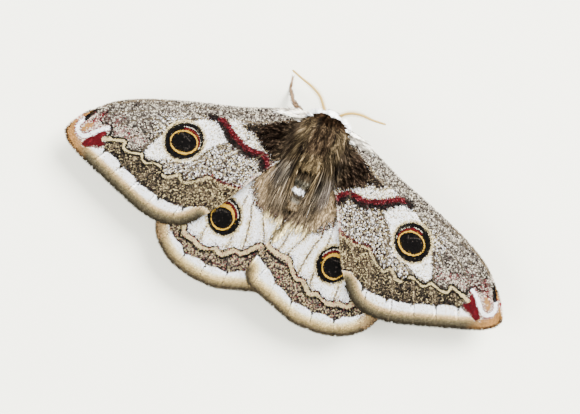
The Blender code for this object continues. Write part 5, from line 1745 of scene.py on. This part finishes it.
@dataclass
class HeadParts:
    """Eyes and palps."""

    eye_radius: float = 0.85

    def build(self, eye: Material, skin: Material) -> None:
        """Builds both eyes and both palps."""
        for side in Side:
            centre = np.array([side.value * 1.45, -4.95, 5.9])
            bm = bmesh.new()
            bmesh.ops.create_icosphere(bm, subdivisions=4, radius=self.eye_radius * MM)
            bm.transform(Matrix.Translation(Vector(to_row(centre[None])[0])))
            adopt(object_from(bm, f"compound_eye_{side.word}", eye), (f"eye_{side.word}",))
            root = np.array([side.value * 0.45, -5.5, 4.8])
            tip = np.array([side.value * 0.6, -6.1, 4.1])
            line = root + (tip - root) * np.linspace(0.0, 1.0, 8)[:, None]
            radii = 0.36 * np.sqrt(1.0 - np.linspace(0.0, 0.93, 8) ** 2)
            palp = tube(f"palp_core_{side.word}", line, radii, 12, skin)
            count = len(palp.data.vertices)
            dress(palp, np.tile(colour(120, 100, 82), (count, 1)), np.full((count, 2), 0.5))
            adopt(palp, (f"palp_{side.word}",))


# Finishes


def set_inputs(node: bpy.types.Node, **values: float) -> None:
    """Sets inputs of a node, whose names have _ for a space."""
    for name, value in values.items():
        node.inputs[name.replace("_", " ")].default_value = value


def grain_group() -> bpy.types.NodeTree:
    """The group that breaks up a surface, with its colour varied and its roughness and bump.

    Returns:
        The group: Vector, Color, Size, Amount, Rough and Bump in, and Color, Roughness and Normal out.
    """
    group = bpy.data.node_groups.new("FineGrain", "ShaderNodeTree")
    face = group.interface
    face.new_socket("Vector", in_out="INPUT", socket_type="NodeSocketVector")
    face.new_socket("Color", in_out="INPUT", socket_type="NodeSocketColor")
    for word, value in (("Size", 9000.0), ("Amount", 0.2), ("Rough", 0.6), ("Bump", 0.2)):
        face.new_socket(word, in_out="INPUT", socket_type="NodeSocketFloat").default_value = value
    for word, kind in (("Color", "Color"), ("Roughness", "Float"), ("Normal", "Vector")):
        face.new_socket(word, in_out="OUTPUT", socket_type=f"NodeSocket{kind}")
    nodes = group.nodes
    start, end = nodes.new("NodeGroupInput"), nodes.new("NodeGroupOutput")
    noise, bump = nodes.new("ShaderNodeTexNoise"), nodes.new("ShaderNodeBump")
    centred, scaled, rough = (nodes.new("ShaderNodeMath") for _ in range(3))
    tint = nodes.new("ShaderNodeVectorMath")
    centred.operation, scaled.operation, rough.operation = "SUBTRACT", "MULTIPLY_ADD", "MULTIPLY"
    tint.operation = "SCALE"
    noise.inputs["Detail"].default_value = 3.0
    bump.inputs["Distance"].default_value = 0.00003
    centred.inputs[1].default_value = 0.5
    scaled.inputs[2].default_value = 1.0
    rough.use_clamp = True
    for source, target in (
        (start.outputs["Vector"], noise.inputs["Vector"]), (start.outputs["Size"], noise.inputs["Scale"]),
        (noise.outputs["Fac"], centred.inputs[0]), (centred.outputs[0], scaled.inputs[0]),
        (start.outputs["Amount"], scaled.inputs[1]), (start.outputs["Color"], tint.inputs[0]),
        (scaled.outputs[0], tint.inputs["Scale"]), (scaled.outputs[0], rough.inputs[0]),
        (start.outputs["Rough"], rough.inputs[1]), (noise.outputs["Fac"], bump.inputs["Height"]),
        (start.outputs["Bump"], bump.inputs["Strength"]), (tint.outputs[0], end.inputs["Color"]),
        (rough.outputs[0], end.inputs["Roughness"]), (bump.outputs[0], end.inputs["Normal"]),
    ):
        group.links.new(source, target)
    return group


@dataclass(frozen=True)
class Finish:
    """A surface's look: its grain and its shine."""

    name: str
    tint: Optional[tuple[float, float, float]] = None
    size: float = 9000.0
    amount: float = 0.3
    rough: float = 0.6
    bump: float = 0.25
    specular: float = 0.3
    coat: float = 0.0

    def build(self, group: bpy.types.NodeTree) -> Material:
        """Makes the material; without a tint of its own it reads the piece's markings."""
        material = bpy.data.materials.new(self.name)
        material.use_nodes = True
        nodes, links = material.node_tree.nodes, material.node_tree.links
        shader, grain = nodes["Principled BSDF"], nodes.new("ShaderNodeGroup")
        set_inputs(shader, Specular_IOR_Level=self.specular, Coat_Weight=self.coat)
        grain.node_tree = group
        set_inputs(grain, Size=self.size, Amount=self.amount, Rough=self.rough, Bump=self.bump)
        place = nodes.new("ShaderNodeTexCoord")
        links.new(place.outputs["Object"], grain.inputs["Vector"])
        if self.tint is None:
            marking = nodes.new("ShaderNodeAttribute")
            marking.attribute_name = "Marking"
            links.new(marking.outputs["Color"], grain.inputs["Color"])
        else:
            grain.inputs["Color"].default_value = (*colour(*self.tint), 1.0)
        for output, socket in (("Color", "Base Color"), ("Roughness", "Roughness"), ("Normal", "Normal")):
            links.new(grain.outputs[output], shader.inputs[socket])
        return material


def eye_material() -> Material:
    """Dark glossy finish of a compound eye, with fine facets."""
    material = bpy.data.materials.new("eye_facets")
    material.use_nodes = True
    nodes, links = material.node_tree.nodes, material.node_tree.links
    shader = nodes["Principled BSDF"]
    set_inputs(shader, Specular_IOR_Level=0.15, Coat_Weight=0.08, Coat_Roughness=0.15, Roughness=0.25)
    place, cells, ramp, bump = (
        nodes.new(f"ShaderNode{kind}") for kind in ("TexCoord", "TexVoronoi", "ValToRGB", "Bump")
    )
    set_inputs(cells, Scale=16000.0)
    set_inputs(bump, Strength=0.2, Distance=0.00002)
    bump.invert = True
    ramp.color_ramp.elements[0].color = (0.008, 0.005, 0.003, 1.0)
    ramp.color_ramp.elements[1].color = (0.002, 0.001, 0.001, 1.0)
    links.new(place.outputs["Object"], cells.inputs["Vector"])
    links.new(cells.outputs["Distance"], ramp.inputs["Fac"])
    links.new(cells.outputs["Distance"], bump.inputs["Height"])
    links.new(ramp.outputs["Color"], shader.inputs["Base Color"])
    links.new(bump.outputs["Normal"], shader.inputs["Normal"])
    return material


# Layout of this moth


FOREWING_PATTERN = ForewingMarkings()
HINDWING_PATTERN = HindwingMarkings()
SWING = {Side.LEFT: 0.044, Side.RIGHT: 0.01}
LAP = {Side.LEFT: 0.0, Side.RIGHT: 1.25}
ANTENNA_LINES = {
    Side.LEFT: (
        (0.8, -5.6, 6.7), (1.5, -6.0, 7.45), (2.3, -6.95, 7.8), (3.2, -7.7, 7.9),
        (4.7, -8.35, 7.85), (6.3, -8.8, 7.75), (8.2, -9.4, 7.5),
    ),
    Side.RIGHT: (
        (0.8, -5.6, 6.7), (1.3, -6.15, 7.45), (2.0, -6.75, 7.75), (3.0, -7.2, 7.9),
        (4.3, -7.4, 7.9), (5.8, -7.38, 7.8), (7.9, -7.62, 7.5),
    ),
}
# Hip, knee, heel, ball and toe of each leg; the last two stand at the foot's own half thickness
FOOT = 0.16
LEG_LINES = {
    "foreleg_left": (
        (1.2, -2.9, 4.9), (4.0, -4.0, 4.6), (6.4, -5.5, 3.2), (7.6, -7.3, FOOT), (7.95, -9.1, FOOT),
    ),
    "foreleg_right": (
        (1.2, -2.9, 4.9), (3.7, -3.4, 4.6), (5.6, -3.0, 3.0), (6.2, -3.0, FOOT), (7.9, -2.8, FOOT),
    ),
    "midleg_left": (
        (2.2, -0.9, 5.3), (4.6, -1.2, 5.6), (7.8, -1.4, 3.6), (8.9, -1.6, FOOT), (11.0, -2.2, FOOT),
    ),
    "midleg_right": (
        (2.2, -0.9, 5.3), (4.6, -1.0, 5.6), (7.6, -0.8, 3.6), (8.7, -0.9, FOOT), (10.8, -1.2, FOOT),
    ),
    "hindleg_left": (
        (2.0, 1.8, 5.2), (4.4, 3.4, 5.4), (6.6, 6.6, 3.4), (7.4, 8.0, FOOT), (8.4, 10.2, FOOT),
    ),
    "hindleg_right": (
        (2.0, 1.8, 5.2), (4.4, 3.2, 5.4), (6.9, 6.0, 3.4), (7.9, 7.3, FOOT), (9.2, 9.3, FOOT),
    ),
}


def wing_shapes() -> list[WingShape]:
    """The four wings' plans, from the forewings back."""
    fore = [
        WingShape(f"forewing_{side.word}", side, FOREWING_OUTLINE, FOREWING_VEINS, (1.5, -3.0), (8, 19))
        for side in Side
    ]
    hind = [
        WingShape(f"hindwing_{side.word}", side, HINDWING_OUTLINE, HINDWING_VEINS, (2.5, 1.5), (5, 18),
                  below=1.2, lap=LAP[side], swing=SWING[side])
        for side in Side
    ]
    return fore + hind


@dataclass(frozen=True)
class Studio:
    """Plain pale floor, soft lights and the camera over the moth."""

    turn: float = 24.0
    lens: float = 100.0
    distance: float = 0.2417
    wing_height: float = 0.0075

    def light(self, name: str, place: Sequence[float], size: float, power: float) -> None:
        """A soft square light that faces the moth."""
        data = bpy.data.lights.new(name, "AREA")
        data.size = size
        data.energy = power
        lamp = bpy.data.objects.new(name, data)
        lamp.location = place
        lamp.rotation_mode = "QUATERNION"
        lamp.rotation_quaternion = (-Vector(place)).to_track_quat("-Z", "Y")
        bpy.context.scene.collection.objects.link(lamp)

    def build(self) -> None:
        """Builds the floor, the lights and the camera."""
        bm = bmesh.new()
        bmesh.ops.create_grid(bm, x_segments=1, y_segments=1, size=1.5)
        paper = Finish("floor_paper", (214, 213, 209), 90.0, 0.04, 0.8, 0.0, 0.1)
        floor = object_from(bm, "floor", paper.build(bpy.data.node_groups["FineGrain"]))
        if floor.data.polygons[0].normal.z < 0.0:
            floor.data.flip_normals()
        turn = math.radians(self.turn)
        right = Vector((-math.cos(turn), -math.sin(turn), 0.0))
        up = Vector((math.sin(turn), -math.cos(turn), 0.0))
        key = up * 0.3 + right * 0.32
        self.light("key", (key.x, key.y, 0.55), 0.35, 50.6)
        fill = -right * 0.45 - up * 0.1
        self.light("fill", (fill.x, fill.y, 0.5), 0.5, 17.6)
        world = bpy.data.worlds.new("studio")
        world.use_nodes = True
        set_inputs(world.node_tree.nodes["Background"], Color=(0.95, 0.97, 1.0, 1.0), Strength=3.63)
        bpy.context.scene.world = world
        data = bpy.data.cameras.new("camera")
        data.lens = self.lens
        data.sensor_width = 36.0
        data.clip_start = 0.01
        camera = bpy.data.objects.new("camera", data)
        look = Matrix((right, up, right.cross(up))).transposed().to_4x4()
        camera.matrix_world = Matrix.Translation((0.0002, 0.00176, self.wing_height + self.distance)) @ look
        bpy.context.scene.collection.objects.link(camera)
        bpy.context.scene.camera = camera


def main() -> None:
    """Builds the moth piece by piece, then the studio."""
    logging.basicConfig(level=logging.INFO, format="%(message)s")
    group = grain_group()
    scales = Finish("wing_scales", None, 14000.0, 0.25, 0.6, 0.1, 0.02).build(group)
    membrane = Finish("wing_membrane", None, 9000.0, 0.3, 0.6, 0.3, 0.05).build(group)
    hair = Finish("body_hair", None, 9000.0, 0.3, 0.62, 0.1, 0.0).build(group)
    skin = Finish("under_skin", None, 7000.0, 0.4, 0.7, 0.5, 0.05).build(group)
    straw = Finish("antenna_straw", None, 8000.0, 0.3, 0.5, 0.3, 0.1).build(group)
    cuticle = Finish("leg_cuticle", (168, 140, 114), 9000.0, 0.4, 0.5, 0.4, 0.1).build(group)
    horn = Finish("claw_horn", (48, 26, 16), 6000.0, 0.3, 0.3, 0.1, 0.5, 0.4).build(group)
    shapes = wing_shapes()
    BodySkin().build(skin)
    for index, shape in enumerate(shapes):
        slot = shape.name.split("_")[0]
        fore = slot == "forewing"
        pattern = FOREWING_PATTERN if fore else HINDWING_PATTERN
        cover = None if fore else shapes[index - 2]
        upper = ScaleCoat(shape, Face.UPPER, 0.108 if fore else 0.1, seed=200 + index, cover=cover)
        under = ScaleCoat(shape, Face.UNDER, 0.19, 0.44, 0.27, seed=220 + index)
        adopt(Membrane(shape).build(pattern, membrane), (shape.name,))
        for coat in (upper, under, Fringe(shape, seed=240 + index)):
            adopt(coat.build(pattern, scales))
    for side in Side:
        Antenna(side, ANTENNA_LINES[side]).build(straw)
    for name, line in LEG_LINES.items():
        Leg(name, line).build(cuticle, horn, hair)
    HeadParts().build(eye_material(), skin)

    Coat(shapes, hair).build()
    Studio().build()


if __name__ == "__main__":
    main()
